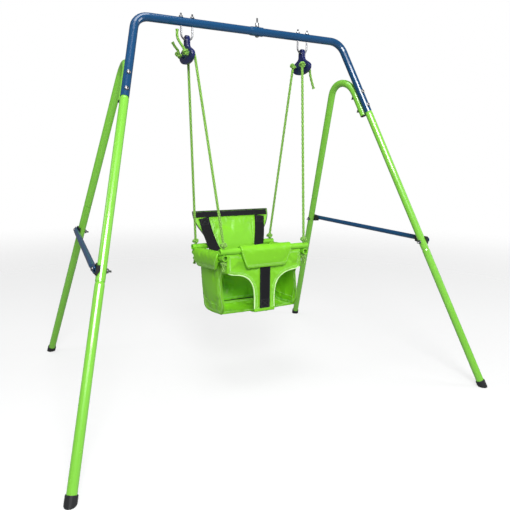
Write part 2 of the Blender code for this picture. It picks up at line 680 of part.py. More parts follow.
def rope(side, place):
    # one rope: its loose end, the knot at the hanger, the strand, the knots above and below the seat;
    # both hangers carry their knots on the left, so a left rope's strand comes back through its hole
    hand = -1 if place == "front" else 1
    y_top = BAR_Y + hand * ROPE_HOLE_SPACING / 2
    y_low = FRONT_Y if place == "front" else BACK_Y
    bar_z = FRONT_BAR_Z if place == "front" else BACK_BAR_Z
    out = X_AXIS * side.sign
    face = HANGER_THICK / 2
    hole = Vector((side.sign * HANGER_X, y_top, U_BOTTOM - ROPE_HOLE_DROP))
    high_knot = hole - X_AXIS * (face + GAP + KNOT_WIDE)
    above_bar = bar_z + SEAT_BAR_RADIUS + GAP
    under_bar = bar_z - SIDE_BAR_DROP - SEAT_BAR_RADIUS - GAP
    seat_knot = Vector((side.sign * SEAT_HALF_WIDTH, y_low, above_bar + KNOT_TALL))
    stop_knot = Vector((seat_knot.x, y_low, under_bar - KNOT_TALL * STOP_KNOT))
    mesh_data = bmesh.new()
    strand_path = [high_knot]
    if side.name == "left":
        inward, below = ROPE_TURN
        turn = [high_knot, hole, hole - out * (face + inward * 0.55) - Z_AXIS * 0.0015,
                hole - out * (face + inward) - Z_AXIS * below]
        strand_path = smooth_path(turn, 0.005)
    cord(mesh_data, strand_path + [seat_knot], ROPE_RADIUS)
    route = [] if side.name == "left" else [hole + out * (face + ROPE_RADIUS)]
    for outward, y, z in TAILS[side.name, place]:
        route.append(hole + out * (face + outward) + Vector((0, y, z)))
    loose_end = bmesh.new()
    root = high_knot - out * 0.002 if side.name == "left" else high_knot + out * 0.004
    cord(loose_end, [root] + smooth_path(route, 0.010), ROPE_RADIUS)
    seat_end = bmesh.new()
    tail = stop_knot + Vector((side.sign * 0.004, hand * 0.005, -0.022))
    cord(seat_end, [seat_knot - Z_AXIS * 0.003, stop_knot, tail], ROPE_RADIUS)
    knots = bmesh.new()
    knot(knots, high_knot, KNOT_WIDE, KNOT_TALL)
    knot(knots, seat_knot, KNOT_WIDE, KNOT_TALL)
    knot(knots, stop_knot, KNOT_WIDE * STOP_KNOT, KNOT_TALL * STOP_KNOT)
    name = "rope_" + place + "_" + side.name
    strand = new_object(name, mesh_data, ROPE_GREEN)
    for part, extra in (("knots", knots), ("loose_end", loose_end), ("seat_end", seat_end)):
        helper = new_object(name + "_" + part, extra, None)
        helper.hide_render = True
        helper.display_type = "WIRE"
        union = strand.modifiers.new(part, "BOOLEAN")
        union.operation = "UNION"
        union.solver = "EXACT"
        union.object = helper


def seat_bar(name, start, end, across, holes):
    outer = round_stations([start, end], SEAT_BAR_RADIUS)
    inner = round_stations([start, end], SEAT_BAR_RADIUS - SEAT_BAR_WALL)
    mesh_data = bmesh.new()
    hollow_tube(mesh_data, outer, inner, across, SMALL_SIDES)
    cut(new_object(name, mesh_data, GREEN_PLASTIC), holes)


def seat_bars():
    holes = []
    for sign in (-1, 1):
        for y in (FRONT_Y, BACK_Y):
            low = Vector((sign * SEAT_HALF_WIDTH, y, BACK_BAR_Z - 0.06))
            holes.append((low, low + Z_AXIS * 0.10, ROPE_RADIUS + BORE))
    tool = cutter("seat_bar_holes", holes)
    reach = X_AXIS * (SEAT_HALF_WIDTH + SEAT_BAR_PAST_ROPE)
    for name, y, z in (("front_bar", FRONT_Y, FRONT_BAR_Z), ("back_bar", BACK_Y, BACK_BAR_Z)):
        middle = Vector((0, y, z))
        seat_bar(name, middle - reach, middle + reach, Z_AXIS, tool)
    for side in SIDE_LIST:
        start, end = side_bar_line(side.sign)
        seat_bar("side_bar_" + side.name, start, end, X_AXIS, tool)


def side_bar_line(sign):
    front = Vector((sign * SEAT_HALF_WIDTH, FRONT_Y, FRONT_BAR_Z - SIDE_BAR_DROP))
    back = Vector((sign * SEAT_HALF_WIDTH, BACK_Y, BACK_BAR_Z - SIDE_BAR_DROP))
    along = (back - front).normalized()
    return front - along * SEAT_BAR_PAST_ROPE, back + along * SEAT_BAR_PAST_ROPE


def hanging_pad(name, front, back, across, thick, half_top, half_hem, hem_drop):
    # a padded cover bent over a bar, its flap hanging to a narrower hem; across points outward
    middle = (front + back) / 2
    along = (back - front).normalized()
    bore = SEAT_BAR_RADIUS + GAP
    radius = bore + thick
    sweep = math.pi + math.asin(UNDER_COVER / radius)
    outer = []
    for step in range(11):
        turn = sweep * (1 - step / 10)
        outer.append((radius * math.cos(turn), radius * math.sin(turn)))
    outer += [(radius - 0.0010, -COVER_BELLY), (COVER_HEM, -hem_drop), (FLAP_INNER, -hem_drop),
              (FLAP_INNER, -UNDER_COVER)]
    hole = [(bore * math.cos(math.pi * step / 6), bore * math.sin(math.pi * step / 6)) for step in range(12)]
    mesh_data = bmesh.new()
    ends = []
    for hand in (-1, 1):
        loops = []
        for outline in (outer, hole):
            verts = []
            for wide, rise in outline:
                part = min(max(-rise / hem_drop, 0), 1)
                reach = half_top + (half_hem - half_top) * part
                verts.append(mesh_data.verts.new(middle + along * (reach * hand) + across * wide + Z_AXIS * rise))
            loops.append(verts)
        ends.append(loops)
    for first, second in zip(*ends):
        for step in range(len(first)):
            after = (step + 1) % len(first)
            mesh_data.faces.new((first[step], first[after], second[after], second[step]))
    for loops in ends:
        edges = []
        for verts in loops:
            for step in range(len(verts)):
                edges.append(mesh_data.edges.get((verts[step], verts[(step + 1) % len(verts)])))
        bmesh.ops.triangle_fill(mesh_data, edges=edges, use_beauty=True)
    new_object(name, mesh_data, VINYL)


def front_pad():
    front = Vector((-PAD_TOP_HALF, FRONT_Y, FRONT_BAR_Z))
    back = Vector((PAD_TOP_HALF, FRONT_Y, FRONT_BAR_Z))
    hanging_pad("front_pad", front, back, -Y_AXIS, PAD_THICK, PAD_TOP_HALF, PAD_HEM_HALF, PAD_DROP)


def side_sleeve(side):
    # between the ropes' knots, along the side bar
    start, end = side_bar_line(side.sign)
    middle = (start + end) / 2
    half = SEAT_DEPTH / 2 - KNOT_WIDE - 0.0055
    along = (end - start).normalized()
    hanging_pad("side_sleeve_" + side.name, middle - along * half, middle + along * half, X_AXIS * side.sign,
                SLEEVE_THICK, half, half - SLEEVE_TAPER, SLEEVE_DROP)


def back_y(z):
    # the backrest's front face, which lies against the back bar and leans back above it
    rise = z - BACK_BAR_Z
    rest = BACK_Y - (SEAT_BAR_RADIUS + GAP + CLOTH) * math.hypot(1, BACK_LEAN)
    return rest + rise * (BACK_LEAN if rise > 0 else BACK_LEAN_LOW)


def back_panel():
    # it starts just above the base's rear edge; each row is set back by the cloth's thickness
    mesh_data = bmesh.new()
    thick = Y_AXIS * CLOTH * math.hypot(1, BACK_LEAN)
    rings = []
    for z, half in [(BACK_TOP - drop, half) for drop, half in BACK_HALF] + [(BACK_BOTTOM, BACK_HALF[-1][1])]:
        left = Vector((-half, back_y(z), z))
        right = Vector((half, back_y(z), z))
        rings.append([mesh_data.verts.new(point) for point in (left, right, right + thick, left + thick)])
    join_rings(mesh_data, rings, closed=False)
    new_object("back_panel", mesh_data, VINYL)


def base_line():
    # the base's underside from the front panel to the backrest, as (y, z)
    front = FRONT_Y - CLOTH / 2
    back = back_y(BACK_BOTTOM) + CLOTH
    return [(front + (back - front) * share, SEAT_BOTTOM + rise) for share, rise in BASE_PROFILE]


def seat_base():
    mesh_data = bmesh.new()
    rings = []
    widest = SIDE_PANEL_X - GAP
    for index, (y, z) in enumerate(base_line()):
        half = LEG_HALF + 0.001 if index < 2 else widest
        rings.append([mesh_data.verts.new(Vector(corner)) for corner in
                      ((-half, y, z), (half, y, z), (half, y, z + CLOTH), (-half, y, z + CLOTH))])
    join_rings(mesh_data, rings, closed=False)
    new_object("seat_base", mesh_data, VINYL)


def flat_panel(name, outline, thick):
    mesh_data = bmesh.new()
    near = [mesh_data.verts.new(point) for point in outline]
    far = [mesh_data.verts.new(point + thick) for point in outline]
    join_rings(mesh_data, [near, far], closed=False)
    new_object(name, mesh_data, VINYL)


def side_panel(side):
    # from the side bar's cover down to the base, its front edge hollowed for the leg
    start, end = side_bar_line(side.sign)
    slope = (end.z - start.z) / (end.y - start.y)

    def under_sleeve(y):
        return start.z + slope * (y - start.y) - UNDER_COVER - GAP

    corner_y = FRONT_Y + KNOT_WIDE + 0.0035
    rear_y = back_y(BACK_BAR_Z - SIDE_BAR_DROP) - GAP
    outline = [(corner_y, under_sleeve(corner_y))]
    outline += [(FRONT_Y + run, FRONT_BAR_Z - drop) for run, drop in LEG_OPENING]
    outline += [(y, z) for y, z in base_line()[2:]]
    outline += [(rear_y, under_sleeve(rear_y))]
    flat_panel("side_panel_" + side.name, [Vector((side.sign * SIDE_PANEL_X, y, z)) for y, z in outline],
               Vector((side.sign * CLOTH, 0, 0)))


def front_panel():
    # behind the pad its top edge lies lower, to leave room for the pad's underside
    y = FRONT_Y - CLOTH / 2
    under_bar = FRONT_BAR_Z - SEAT_BAR_RADIUS - GAP
    beside_pad = PAD_TOP_HALF + 0.003
    edge = [(beside_pad, FRONT_BAR_Z - UNDER_COVER - GAP), (beside_pad, under_bar), (FRONT_EDGE[0][0], under_bar)]
    edge += [(half, FRONT_BAR_Z - drop) for half, drop in FRONT_EDGE]
    edge += [(LEG_HALF, SEAT_BOTTOM + CLOTH + GAP)]
    outline = [Vector((-half, y, z)) for half, z in edge]
    outline += [Vector((half, y, z)) for half, z in edge[::-1]]
    flat_panel("front_panel", outline, Vector((0, CLOTH, 0)))


def ribbon(name, path, halves, facing):
    # webbing along a path, with a half width at each point; facing is the way its flat side looks
    mesh_data = bmesh.new()
    rings = []
    for point, tangent, half in zip(path, tangents(path), halves):
        across = tangent.cross(facing).normalized()
        normal = across.cross(tangent).normalized() * (WEBBING / 2)
        rings.append([mesh_data.verts.new(corner) for corner in
                      (point - across * half - normal, point + across * half - normal,
                       point + across * half + normal, point - across * half + normal)])
    join_rings(mesh_data, rings, closed=False)
    new_object(name, mesh_data, BLACK_WEBBING)


def crotch_strap():
    # down the middle of the front panel, from under the pad's hem
    y = FRONT_Y - CLOTH / 2 - GAP - WEBBING / 2
    heights = (FRONT_BAR_Z - PAD_DROP + 0.012, SEAT_BOTTOM + 0.080, SEAT_BOTTOM + 0.012)
    ribbon("crotch_strap", [Vector((0, y, z)) for z in heights], [WEBBING_HALF] * 3, Y_AXIS)


def buckle_start():
    return Vector((0, FRONT_Y + BUCKLE_BEHIND, FRONT_BAR_Z + BUCKLE_RISE))


def buckle_tab():
    # sewn to the front panel's inner face, up behind the pad and over to the buckle
    on_panel = FRONT_Y + CLOTH / 2 + GAP + WEBBING / 2
    behind_pad = FRONT_Y + SEAT_BAR_RADIUS + PAD_THICK + 4 * GAP + WEBBING / 2
    places = [(on_panel, -0.082), (on_panel, -0.048), (on_panel + 0.003, -0.038), (behind_pad - 0.001, -0.020),
              (behind_pad + 0.001, -0.009), (behind_pad + 0.001, 0.0)]
    route = [Vector((0, y, FRONT_BAR_Z + rise)) for y, rise in places]
    route += [buckle_start() + Vector((0, -0.0085, 0.0026)), buckle_start() - BUCKLE_TILT * 0.0045,
              buckle_start() - BUCKLE_TILT * GAP]
    ribbon("buckle_tab", route, [TAB_HALF] * len(route), Y_AXIS)


def back_strap():
    # webbing sewn along the backrest's top edge
    normal = Vector((0, -1, BACK_LEAN)).normalized()
    middle = Vector((0, back_y(BACK_TOP - 0.011), BACK_TOP - 0.011)) + normal * (GAP + WEBBING / 2)
    reach = BACK_HALF[0][1] - 0.006
    ribbon("back_strap", [middle + X_AXIS * x for x in (-reach, 0, reach)], [0.010] * 3, normal)


def buckle_block(stations):
    # stations are (distance from the socket's near end, half width, lower face, upper face)
    up = X_AXIS.cross(BUCKLE_TILT).normalized()
    mesh_data = bmesh.new()
    rings = []
    for along, half, low, high in stations:
        centre = buckle_start() + BUCKLE_TILT * along
        rings.append([mesh_data.verts.new(corner) for corner in
                      (centre - X_AXIS * half + up * low, centre + X_AXIS * half + up * low,
                       centre + X_AXIS * half + up * high, centre - X_AXIS * half + up * high)])
    join_rings(mesh_data, rings, closed=False)
    return mesh_data


def buckle_pocket(name, stations):
    tool = new_object(name, buckle_block(stations), None)
    tool.hide_render = True
    tool.display_type = "WIRE"
    return tool


def buckle():
    deep = SOCKET_DEEP
    end = SOCKET_LENGTH
    socket = new_object("buckle_socket", buckle_block(
        [(GAP, SOCKET_HALF - 0.0025, 0.0015 - deep, deep - 0.0015), (0.004, SOCKET_HALF, -deep, deep),
         (end - 0.006, SOCKET_HALF, -deep, deep), (end, SOCKET_HALF - 0.0015, 0.0007 - deep, deep - 0.0007)]),
        BLACK_PLASTIC)
    cut(socket, buckle_pocket("buckle_slot", [(0.008, SLOT_HALF, -SLOT_DEEP, SLOT_DEEP),
                                              (end + 0.004, SLOT_HALF, -SLOT_DEEP, SLOT_DEEP)]))
    new_object("buckle_tongue", buckle_block(
        [(0.010, SLOT_HALF - 0.002, 0.001 - SLOT_DEEP, SLOT_DEEP - 0.001),
         (end + 0.0008, SLOT_HALF - 0.001, 0.0005 - SLOT_DEEP, SLOT_DEEP - 0.0005),
         (end + 0.0012, TONGUE_HALF * 0.72, -0.0045, 0.0045),
         (end + TONGUE_SHOWN, TONGUE_HALF, -0.0030, 0.0030)]), BLACK_PLASTIC)
    low = deep - BUTTON_SKIRT
    first, last = BUTTON_AT
    floor = low - BUTTON_TRAVEL - GAP
    cut(socket, buckle_pocket("button_pocket",
                              [(first - GAP, BUTTON_HALF + GAP, floor, deep + 0.004),
                               (last + GAP, BUTTON_HALF + GAP, floor, deep + 0.004)]))
    button = new_object("buckle_button", buckle_block(
        [(first, BUTTON_HALF, low, deep + BUTTON_PROUD), (last, BUTTON_HALF, low, deep + BUTTON_PROUD)]),
        NAVY_PLASTIC)
    bevel = button.modifiers.new("soft_edges", "BEVEL")
    bevel.width = 0.0005
    bevel.segments = 1


def shoulder_strap(side):
    # sewn on at the backrest's top corner, it droops into the seat and rises to the tongue
    tongue_end = buckle_start() + BUCKLE_TILT * (SOCKET_LENGTH + TONGUE_SHOWN + 4 * GAP)
    near = tongue_end + X_AXIS * (side.sign * (STRAP_END_HALF + 0.001))
    slack = (back_y(BACK_BAR_Z) - near.y) / 4

    def on_back(x, drop, clear):
        z = BACK_TOP - drop
        return Vector((side.sign * x, back_y(z) - clear, z))

    def between(x, steps, z):
        return Vector((side.sign * x, near.y + slack * steps, z))

    route = [on_back(0.112, 0.0225, 0.0030), on_back(0.104, 0.074, 0.0045), on_back(0.090, 0.124, 0.0090),
             between(0.072, 2.9, near.z - 0.045), between(0.054, 2.0, near.z - 0.072),
             between(0.034, 1.1, near.z - 0.060), near + Vector((side.sign * 0.006, 0.014, -0.018)), near]
    path = smooth_path(route, 0.016)
    halves = []
    for point in path:
        gathered = min((point - near).length / 0.060, 1)
        halves.append(STRAP_END_HALF + (WEBBING_HALF - STRAP_END_HALF) * gathered)
    ribbon("shoulder_strap_" + side.name, path, halves, Vector((0, -1, BACK_LEAN)))


def hang_swing(parts):
    # the swing's pieces turn together about the rods that carry the hangers
    pivot = bpy.data.objects.new("swing_axis", None)
    pivot.location = (0, BAR_Y, U_BOTTOM)
    bpy.context.scene.collection.objects.link(pivot)
    bpy.context.view_layer.update()
    for thing in parts:
        thing.parent = pivot
        thing.matrix_parent_inverse = pivot.matrix_world.inverted()


def build_stand():
    bar_holes = bar_tool()
    crossbar_bolt()
    for side in SIDE_LIST:
        leg_holes = bolt_tool(side)
        crossbar_half(side, bar_holes, leg_holes)
        front_leg(side, leg_holes)
        rear_leg(side, leg_holes)
        hook_plug(side)
        leg_bolts(side)
        side_brace(side, leg_holes)
        brace_saddles(side, leg_holes)
        brace_bolts(side)
        foot_cap("foot_front_" + side.name, side.front_foot, side.down)
        foot_cap("foot_rear_" + side.name, side.rear_foot, side.rear_down)
        u_bolt(side)


def build_swing():
    seat_bars()
    front_pad()
    back_panel()
    seat_base()
    front_panel()
    crotch_strap()
    buckle_tab()
    back_strap()
    buckle()
    for side in SIDE_LIST:
        hanger(side)
        rope(side, "front")
        rope(side, "back")
        side_sleeve(side)
        side_panel(side)
        shoulder_strap(side)


remove_everything()
build_stand()
standing = set(bpy.data.objects)
build_swing()
hang_swing([thing for thing in bpy.data.objects if thing not in standing])
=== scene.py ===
import json
import math

import bmesh
import bpy
import mathutils.bvhtree
from mathutils import Matrix, Vector, noise


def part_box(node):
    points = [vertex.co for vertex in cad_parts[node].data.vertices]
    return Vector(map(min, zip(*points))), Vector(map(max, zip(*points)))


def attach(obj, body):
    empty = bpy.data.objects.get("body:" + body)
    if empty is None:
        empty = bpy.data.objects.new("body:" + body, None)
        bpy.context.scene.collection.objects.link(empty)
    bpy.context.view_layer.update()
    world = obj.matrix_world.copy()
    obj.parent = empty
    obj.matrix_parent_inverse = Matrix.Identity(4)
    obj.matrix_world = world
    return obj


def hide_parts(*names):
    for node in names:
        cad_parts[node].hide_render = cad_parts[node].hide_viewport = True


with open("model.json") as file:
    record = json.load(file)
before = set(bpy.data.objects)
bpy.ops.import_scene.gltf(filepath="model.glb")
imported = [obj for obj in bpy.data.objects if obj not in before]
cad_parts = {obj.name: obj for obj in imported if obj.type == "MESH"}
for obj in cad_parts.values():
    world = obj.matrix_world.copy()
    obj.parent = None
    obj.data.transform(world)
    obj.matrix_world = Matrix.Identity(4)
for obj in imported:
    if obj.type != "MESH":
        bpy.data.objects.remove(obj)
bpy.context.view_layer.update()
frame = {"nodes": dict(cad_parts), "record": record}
scene = bpy.context.scene
xAxis, yAxis, zAxis = Vector((1, 0, 0)), Vector((0, 1, 0)), Vector((0, 0, 1))
bothSides = (("left", -1), ("right", 1))
hinge = Vector(frame["record"]["behaviour"]["joints"][0]["pos_m"])  # the rods' lowest points


def middle(node):
    low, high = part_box(node)
    return (Vector(low) + Vector(high)) / 2


# camera, floor and light

viewpoint = {"place": (-0.8529, -1.6832, 0.7920), "yaw": 0.4999, "pitch": -0.1851, "roll": 0.0095,
             "lens": 37.62}


def addCamera():
    yaw, pitch, roll = viewpoint["yaw"], viewpoint["pitch"], viewpoint["roll"]
    ahead = Vector((math.sin(yaw) * math.cos(pitch), math.cos(yaw) * math.cos(pitch), math.sin(pitch)))
    right = Vector((math.cos(yaw), -math.sin(yaw), 0))
    up = right.cross(ahead)
    right, up = right * math.cos(roll) + up * math.sin(roll), up * math.cos(roll) - right * math.sin(roll)
    camera = bpy.data.objects.new("camera", bpy.data.cameras.new("camera"))
    camera.data.lens = viewpoint["lens"]
    camera.data.sensor_width = 36
    turn = Matrix((right, up, -ahead)).transposed().to_4x4()
    camera.matrix_world = Matrix.Translation(viewpoint["place"]) @ turn
    scene.collection.objects.link(camera)
    scene.camera = camera


# shader building

class Value:
    # a node's output that can be used in plain arithmetic
    def __init__(self, shader, socket):
        self.shader = shader
        self.socket = socket

    def calc(self, operation, *others):
        return self.shader.add("ShaderNodeMath", {"operation": operation}, dict(enumerate((self, *others))))

    def swapped(self, operation, other):
        return self.shader.add("ShaderNodeMath", {"operation": operation}, {0: other, 1: self})

    def __add__(self, other):
        return self.calc("ADD", other)

    def __radd__(self, other):
        return self.swapped("ADD", other)

    def __sub__(self, other):
        return self.calc("SUBTRACT", other)

    def __rsub__(self, other):
        return self.swapped("SUBTRACT", other)

    def __mul__(self, other):
        return self.calc("MULTIPLY", other)

    def __rmul__(self, other):
        return self.swapped("MULTIPLY", other)

    def __pow__(self, other):
        return self.calc("POWER", other)

    def sine(self):
        return self.calc("SINE")

    def cosine(self):
        return self.calc("COSINE")

    def most(self, other):
        return self.calc("MAXIMUM", other)

    def step(self, low, high):
        # 0 below low, 1 above high, smooth between them
        return self.shader.add("ShaderNodeMapRange", {"interpolation_type": "SMOOTHSTEP"},
                               {"Value": self, "From Min": low, "From Max": high})


class Shader:
    def __init__(self, name):
        self.material = bpy.data.materials.new(name)
        self.material.use_nodes = True
        self.nodes = self.material.node_tree.nodes
        self.links = self.material.node_tree.links
        self.surface = self.nodes["Principled BSDF"]

    def feed(self, socket, value):
        if isinstance(value, Value):
            self.links.new(value.socket, socket)
        elif hasattr(value, "__len__") and len(value) == 3 and socket.type == "RGBA":
            socket.default_value = (*value, 1)
        else:
            socket.default_value = value

    def add(self, kind, settings=None, inputs=None, output=0):
        node = self.nodes.new(kind)
        for key, value in (settings or {}).items():
            setattr(node, key, value)
        for key, value in (inputs or {}).items():
            self.feed(node.inputs[key], value)
        return Value(self, node.outputs[output])

    def place(self):
        return self.add("ShaderNodeTexCoord", output="Object")

    def grain(self, scale, detail=2.0, rough=0.5, where=None):
        inputs = {"Vector": where or self.place(), "Scale": scale, "Detail": detail, "Roughness": rough}
        return self.add("ShaderNodeTexNoise", {"noise_dimensions": "3D"}, inputs)

    def cells(self, scale, where=None):
        return self.add("ShaderNodeTexVoronoi", {"feature": "SMOOTH_F1"},
                        {"Vector": where or self.place(), "Scale": scale, "Smoothness": 0.6})

    def part(self, vector, axis):
        return self.add("ShaderNodeSeparateXYZ", inputs={0: vector}, output=axis)

    def blend(self, amount, first, second):
        return self.add("ShaderNodeMix", {"data_type": "RGBA"}, {0: amount, 6: first, 7: second}, output=2)

    def bump(self, height, distance, strength):
        inputs = {"Height": height, "Distance": distance, "Strength": strength}
        return self.add("ShaderNodeBump", inputs=inputs)

    def finish(self, **values):
        for key, value in values.items():
            self.feed(self.surface.inputs[key.replace("_", " ")], value)
        return self.material


def shade(colour, amount):
    return tuple(channel * amount for channel in colour)


# materials

finishes = {
    "legGreen": (0.215, 0.600, 0.055),
    "barBlue": (0.004, 0.055, 0.150),
    "lime": (0.30, 0.66, 0.09),
    "seatGreen": (0.20, 0.60, 0.012),
    "pipingPale": (0.62, 0.90, 0.42),
    "navy": (0.008, 0.014, 0.085),
    "black": (0.012, 0.013, 0.015),
    "webbing": (0.0060, 0.0060, 0.0080),
    "zinc": (0.27, 0.275, 0.285),
}


def powderCoat(name, colour):
    # thick glossy paint: a fine orange-peel skin, soft colour drift and a few dull rub marks
    shader = Shader(name)
    drift = shader.grain(5.0, 3.0)
    peel = shader.grain(620.0, 1.0)
    rubbed = shader.grain(58.0, 9.0, 0.68).step(0.60, 0.72)
    tone = shader.blend(drift, shade(colour, 0.86), shade(colour, 1.12))
    tone = shader.blend(rubbed * 0.22, tone, shade(colour, 1.9))
    return shader.finish(Base_Color=tone, Roughness=0.23 + drift * 0.07 + rubbed * 0.16,
                         Coat_Weight=0.35, Coat_Roughness=0.06, Normal=shader.bump(peel, 0.00016, 0.55))


def zincSteel(name, colour):
    # bright zinc with a faint crystalline mottle and a brushed dullness
    shader = Shader(name)
    spangle = shader.cells(420.0)
    smear = shader.grain(130.0, 6.0, 0.6)
    tone = shader.blend(spangle, shade(colour, 0.70), shade(colour, 1.15))
    tone = shader.blend(smear.step(0.56, 0.75) * 0.45, tone, (0.30, 0.27, 0.22))
    return shader.finish(Base_Color=tone, Metallic=1.0, Roughness=0.24 + smear * 0.22,
                         Normal=shader.bump(smear, 0.00010, 0.5))


def mouldedPlastic(name, colour, rough, pitting=0.00006):
    # moulded plastic: a fine satin texture and slight flow marks
    shader = Shader(name)
    flow = shader.grain(26.0, 4.0)
    pits = shader.grain(1500.0, 1.0)
    tone = shader.blend(flow, shade(colour, 0.80), shade(colour, 1.35))
    return shader.finish(Base_Color=tone, Roughness=rough - 0.05 + flow * 0.12,
                         Normal=shader.bump(pits, pitting, 0.7))


def ropeYarn(name, colour, plaitShade=True):
    # soft yarn: streaks of lighter and darker fibre, painted shade in the grooves between the plaits, with a
    # fuzzy surface
    shader = Shader(name)
    fleck = shader.grain(900.0, 3.0, 0.7)
    worn = shader.grain(34.0, 3.0)
    tone = shader.blend(fleck.step(0.30, 0.66), shade(colour, 0.42), shade(colour, 1.22))
    tone = shader.blend(worn * 0.4, tone, shade(colour, 1.15))
    if plaitShade:
        where = shader.add("ShaderNodeTexCoord", output="UV")
        around, walked = shader.part(where, 0), shader.part(where, 1)
        one = ((around * 4 + walked) * (2 * math.pi)).cosine()
        two = ((around * 4 - walked) * (2 * math.pi)).cosine()
        # painted shade: the yarn is darkened where the plaits' grooves sink into the cord
        tone = shader.blend(one.most(two).step(0.25, 0.98), tone, shade(colour, 0.22))
    return shader.finish(Base_Color=tone, Roughness=0.78 + fleck * 0.12, Sheen_Weight=0.25,
                         Sheen_Roughness=0.4, Normal=shader.bump(fleck, 0.00030, 0.8))


def coatedCloth(name, colour):
    # vinyl-coated cloth: pebbled grain over a faint weave, softly mottled
    shader = Shader(name)
    where = shader.place()
    pebble = shader.cells(760.0, where)
    drift = shader.grain(11.0, 4.0, where=where)
    crease = shader.grain(74.0, 5.0, 0.62, where)
    wovenA = (shader.part(where, 0) * 5200.0).sine()
    wovenB = (shader.part(where, 2) * 5200.0).sine()
    tone = shader.blend(drift, shade(colour, 0.84), shade(colour, 1.14))
    tone = shader.blend(crease.step(0.58, 0.80) * 0.25, tone, shade(colour, 1.5))
    height = pebble + wovenA * wovenB * 0.10 + crease * 1.2
    return shader.finish(Base_Color=tone, Roughness=0.33 + drift * 0.10 + pebble * 0.10,
                         Coat_Weight=0.12, Coat_Roughness=0.22, Normal=shader.bump(height, 0.00022, 0.6))


def wovenStrap(name, colour):
    # webbing: cross ribs with a slanted twill running over them; its colour follows their height, painted
    # shade in the grooves and painted highlight on the ridges, plus random fuzz
    shader = Shader(name)
    where = shader.add("ShaderNodeTexCoord", output="UV")
    across, along = shader.part(where, 0), shader.part(where, 1)
    ribs = (along * (2 * math.pi / 0.0017)).sine()
    twill = ((across + along * 0.6) * (2 * math.pi / 0.0034)).sine()
    fuzz = shader.grain(1400.0, 2.0)
    height = ribs * 0.5 + twill * 0.35 + fuzz * 0.4
    # painted shade and highlight: darker in the low weave, lighter on the raised ribs and twill, partly
    # random from the fuzz
    tone = shader.blend(height * 0.3 + 0.40, shade(colour, 0.40), shade(colour, 2.0))
    return shader.finish(Base_Color=tone, Roughness=0.66 + fuzz * 0.18, Sheen_Weight=0.02,
                         Sheen_Roughness=0.4, Specular_IOR_Level=0.22,
                         Normal=shader.bump(height, 0.00028, 0.8))


def buildMaterials():
    made = {
        "legGreen": powderCoat("legGreen", finishes["legGreen"]),
        "barBlue": powderCoat("barBlue", finishes["barBlue"]),
        "zinc": zincSteel("zincPlate", finishes["zinc"]),
        "capBlack": mouldedPlastic("capBlack", finishes["black"], 0.46),
        "buckleBlack": mouldedPlastic("buckleBlack", finishes["black"], 0.38),
        "buttonGrey": mouldedPlastic("buttonGrey", (0.045, 0.050, 0.060), 0.42),
        "hangerNavy": mouldedPlastic("hangerNavy", finishes["navy"], 0.24, 0.00003),
        "barGreen": mouldedPlastic("seatBarGreen", (0.19, 0.55, 0.025), 0.34),
        "rope": ropeYarn("ropeYarn", finishes["lime"]),
        "vinyl": coatedCloth("seatCloth", finishes["seatGreen"]),
        "piping": coatedCloth("pipingPale", finishes["pipingPale"]),
        "webbing": wovenStrap("blackWebbing", finishes["webbing"]),
        "thread": ropeYarn("paleThread", (0.55, 0.85, 0.35), plaitShade=False),
        "binding": coatedCloth("bindingGreen", shade(finishes["seatGreen"], 0.72)),
        "darkBinding": coatedCloth("bindingDark", (0.020, 0.028, 0.022)),
        "darkThread": ropeYarn("darkThread", (0.05, 0.05, 0.055), plaitShade=False),
    }
    print("materials:", len(made))
    return made


materials = buildMaterials()


# studio

studio = {
    "floor": (0.90, 0.905, 0.91), "floorRadius": 9.0, "fadeFrom": 1.7, "fadeTo": 4.6,
    "back": (1.0, 1.0, 1.0), "ambient": 0.16, "shadow": 0.30,
    "lamps": [("key", (-0.9, -2.7, 2.1), (0.0, 0.0, 0.55), 1.1, 92),
              ("fill", (2.9, -1.9, 1.6), (0.0, 0.0, 0.60), 1.4, 40),
              ("top", (-0.4, -0.4, 3.3), (0.0, 0.0, 0.60), 1.5, 40),
              ("rim", (-3.0, 0.4, 1.9), (0.0, 0.0, 0.70), 0.9, 18)],
}


def addStudio():
    mesh = bpy.data.meshes.new("floor")
    build = bmesh.new()
    bmesh.ops.create_circle(build, cap_ends=True, segments=96, radius=studio["floorRadius"])
    build.to_mesh(mesh)
    build.free()
    floor = bpy.data.objects.new("floor", mesh)
    scene.collection.objects.link(floor)
    shader = Shader("paleFloor")
    where = shader.place()
    distance = (shader.part(where, 0) ** 2 + shader.part(where, 1) ** 2) ** 0.5
    faded = distance.step(studio["fadeFrom"], studio["fadeTo"])
    mesh.materials.append(shader.finish(Base_Color=studio["floor"], Roughness=0.7, Specular_IOR_Level=0.2,
                                        Alpha=studio["shadow"] * (1 - faded)))
    world = bpy.data.worlds.new("softbox")
    scene.world = world
    world.use_nodes = True
    tree = world.node_tree
    lit = tree.nodes["Background"]
    lit.inputs[0].default_value = (*studio["back"], 1)
    lit.inputs[1].default_value = studio["ambient"]
    seen = tree.nodes.new("ShaderNodeBackground")
    seen.inputs[0].default_value = (*studio["back"], 1)
    mix = tree.nodes.new("ShaderNodeMixShader")
    path = tree.nodes.new("ShaderNodeLightPath")
    tree.links.new(path.outputs["Is Camera Ray"], mix.inputs[0])
    tree.links.new(lit.outputs[0], mix.inputs[1])
    tree.links.new(seen.outputs[0], mix.inputs[2])
    tree.links.new(mix.outputs[0], tree.nodes["World Output"].inputs[0])
    for name, place, aim, size, power in studio["lamps"]:
        lamp = bpy.data.lights.new(name, "AREA")
        lamp.shape = "DISK"
        lamp.size = size
        lamp.energy = power
        thing = bpy.data.objects.new(name, lamp)
        thing.location = place
        thing.rotation_euler = (Vector(aim) - Vector(place)).to_track_quat("-Z", "Y").to_euler()
        scene.collection.objects.link(thing)
    scene.view_settings.view_transform = "Standard"
    print("studio ready")


addCamera()
addStudio()


# mesh helpers

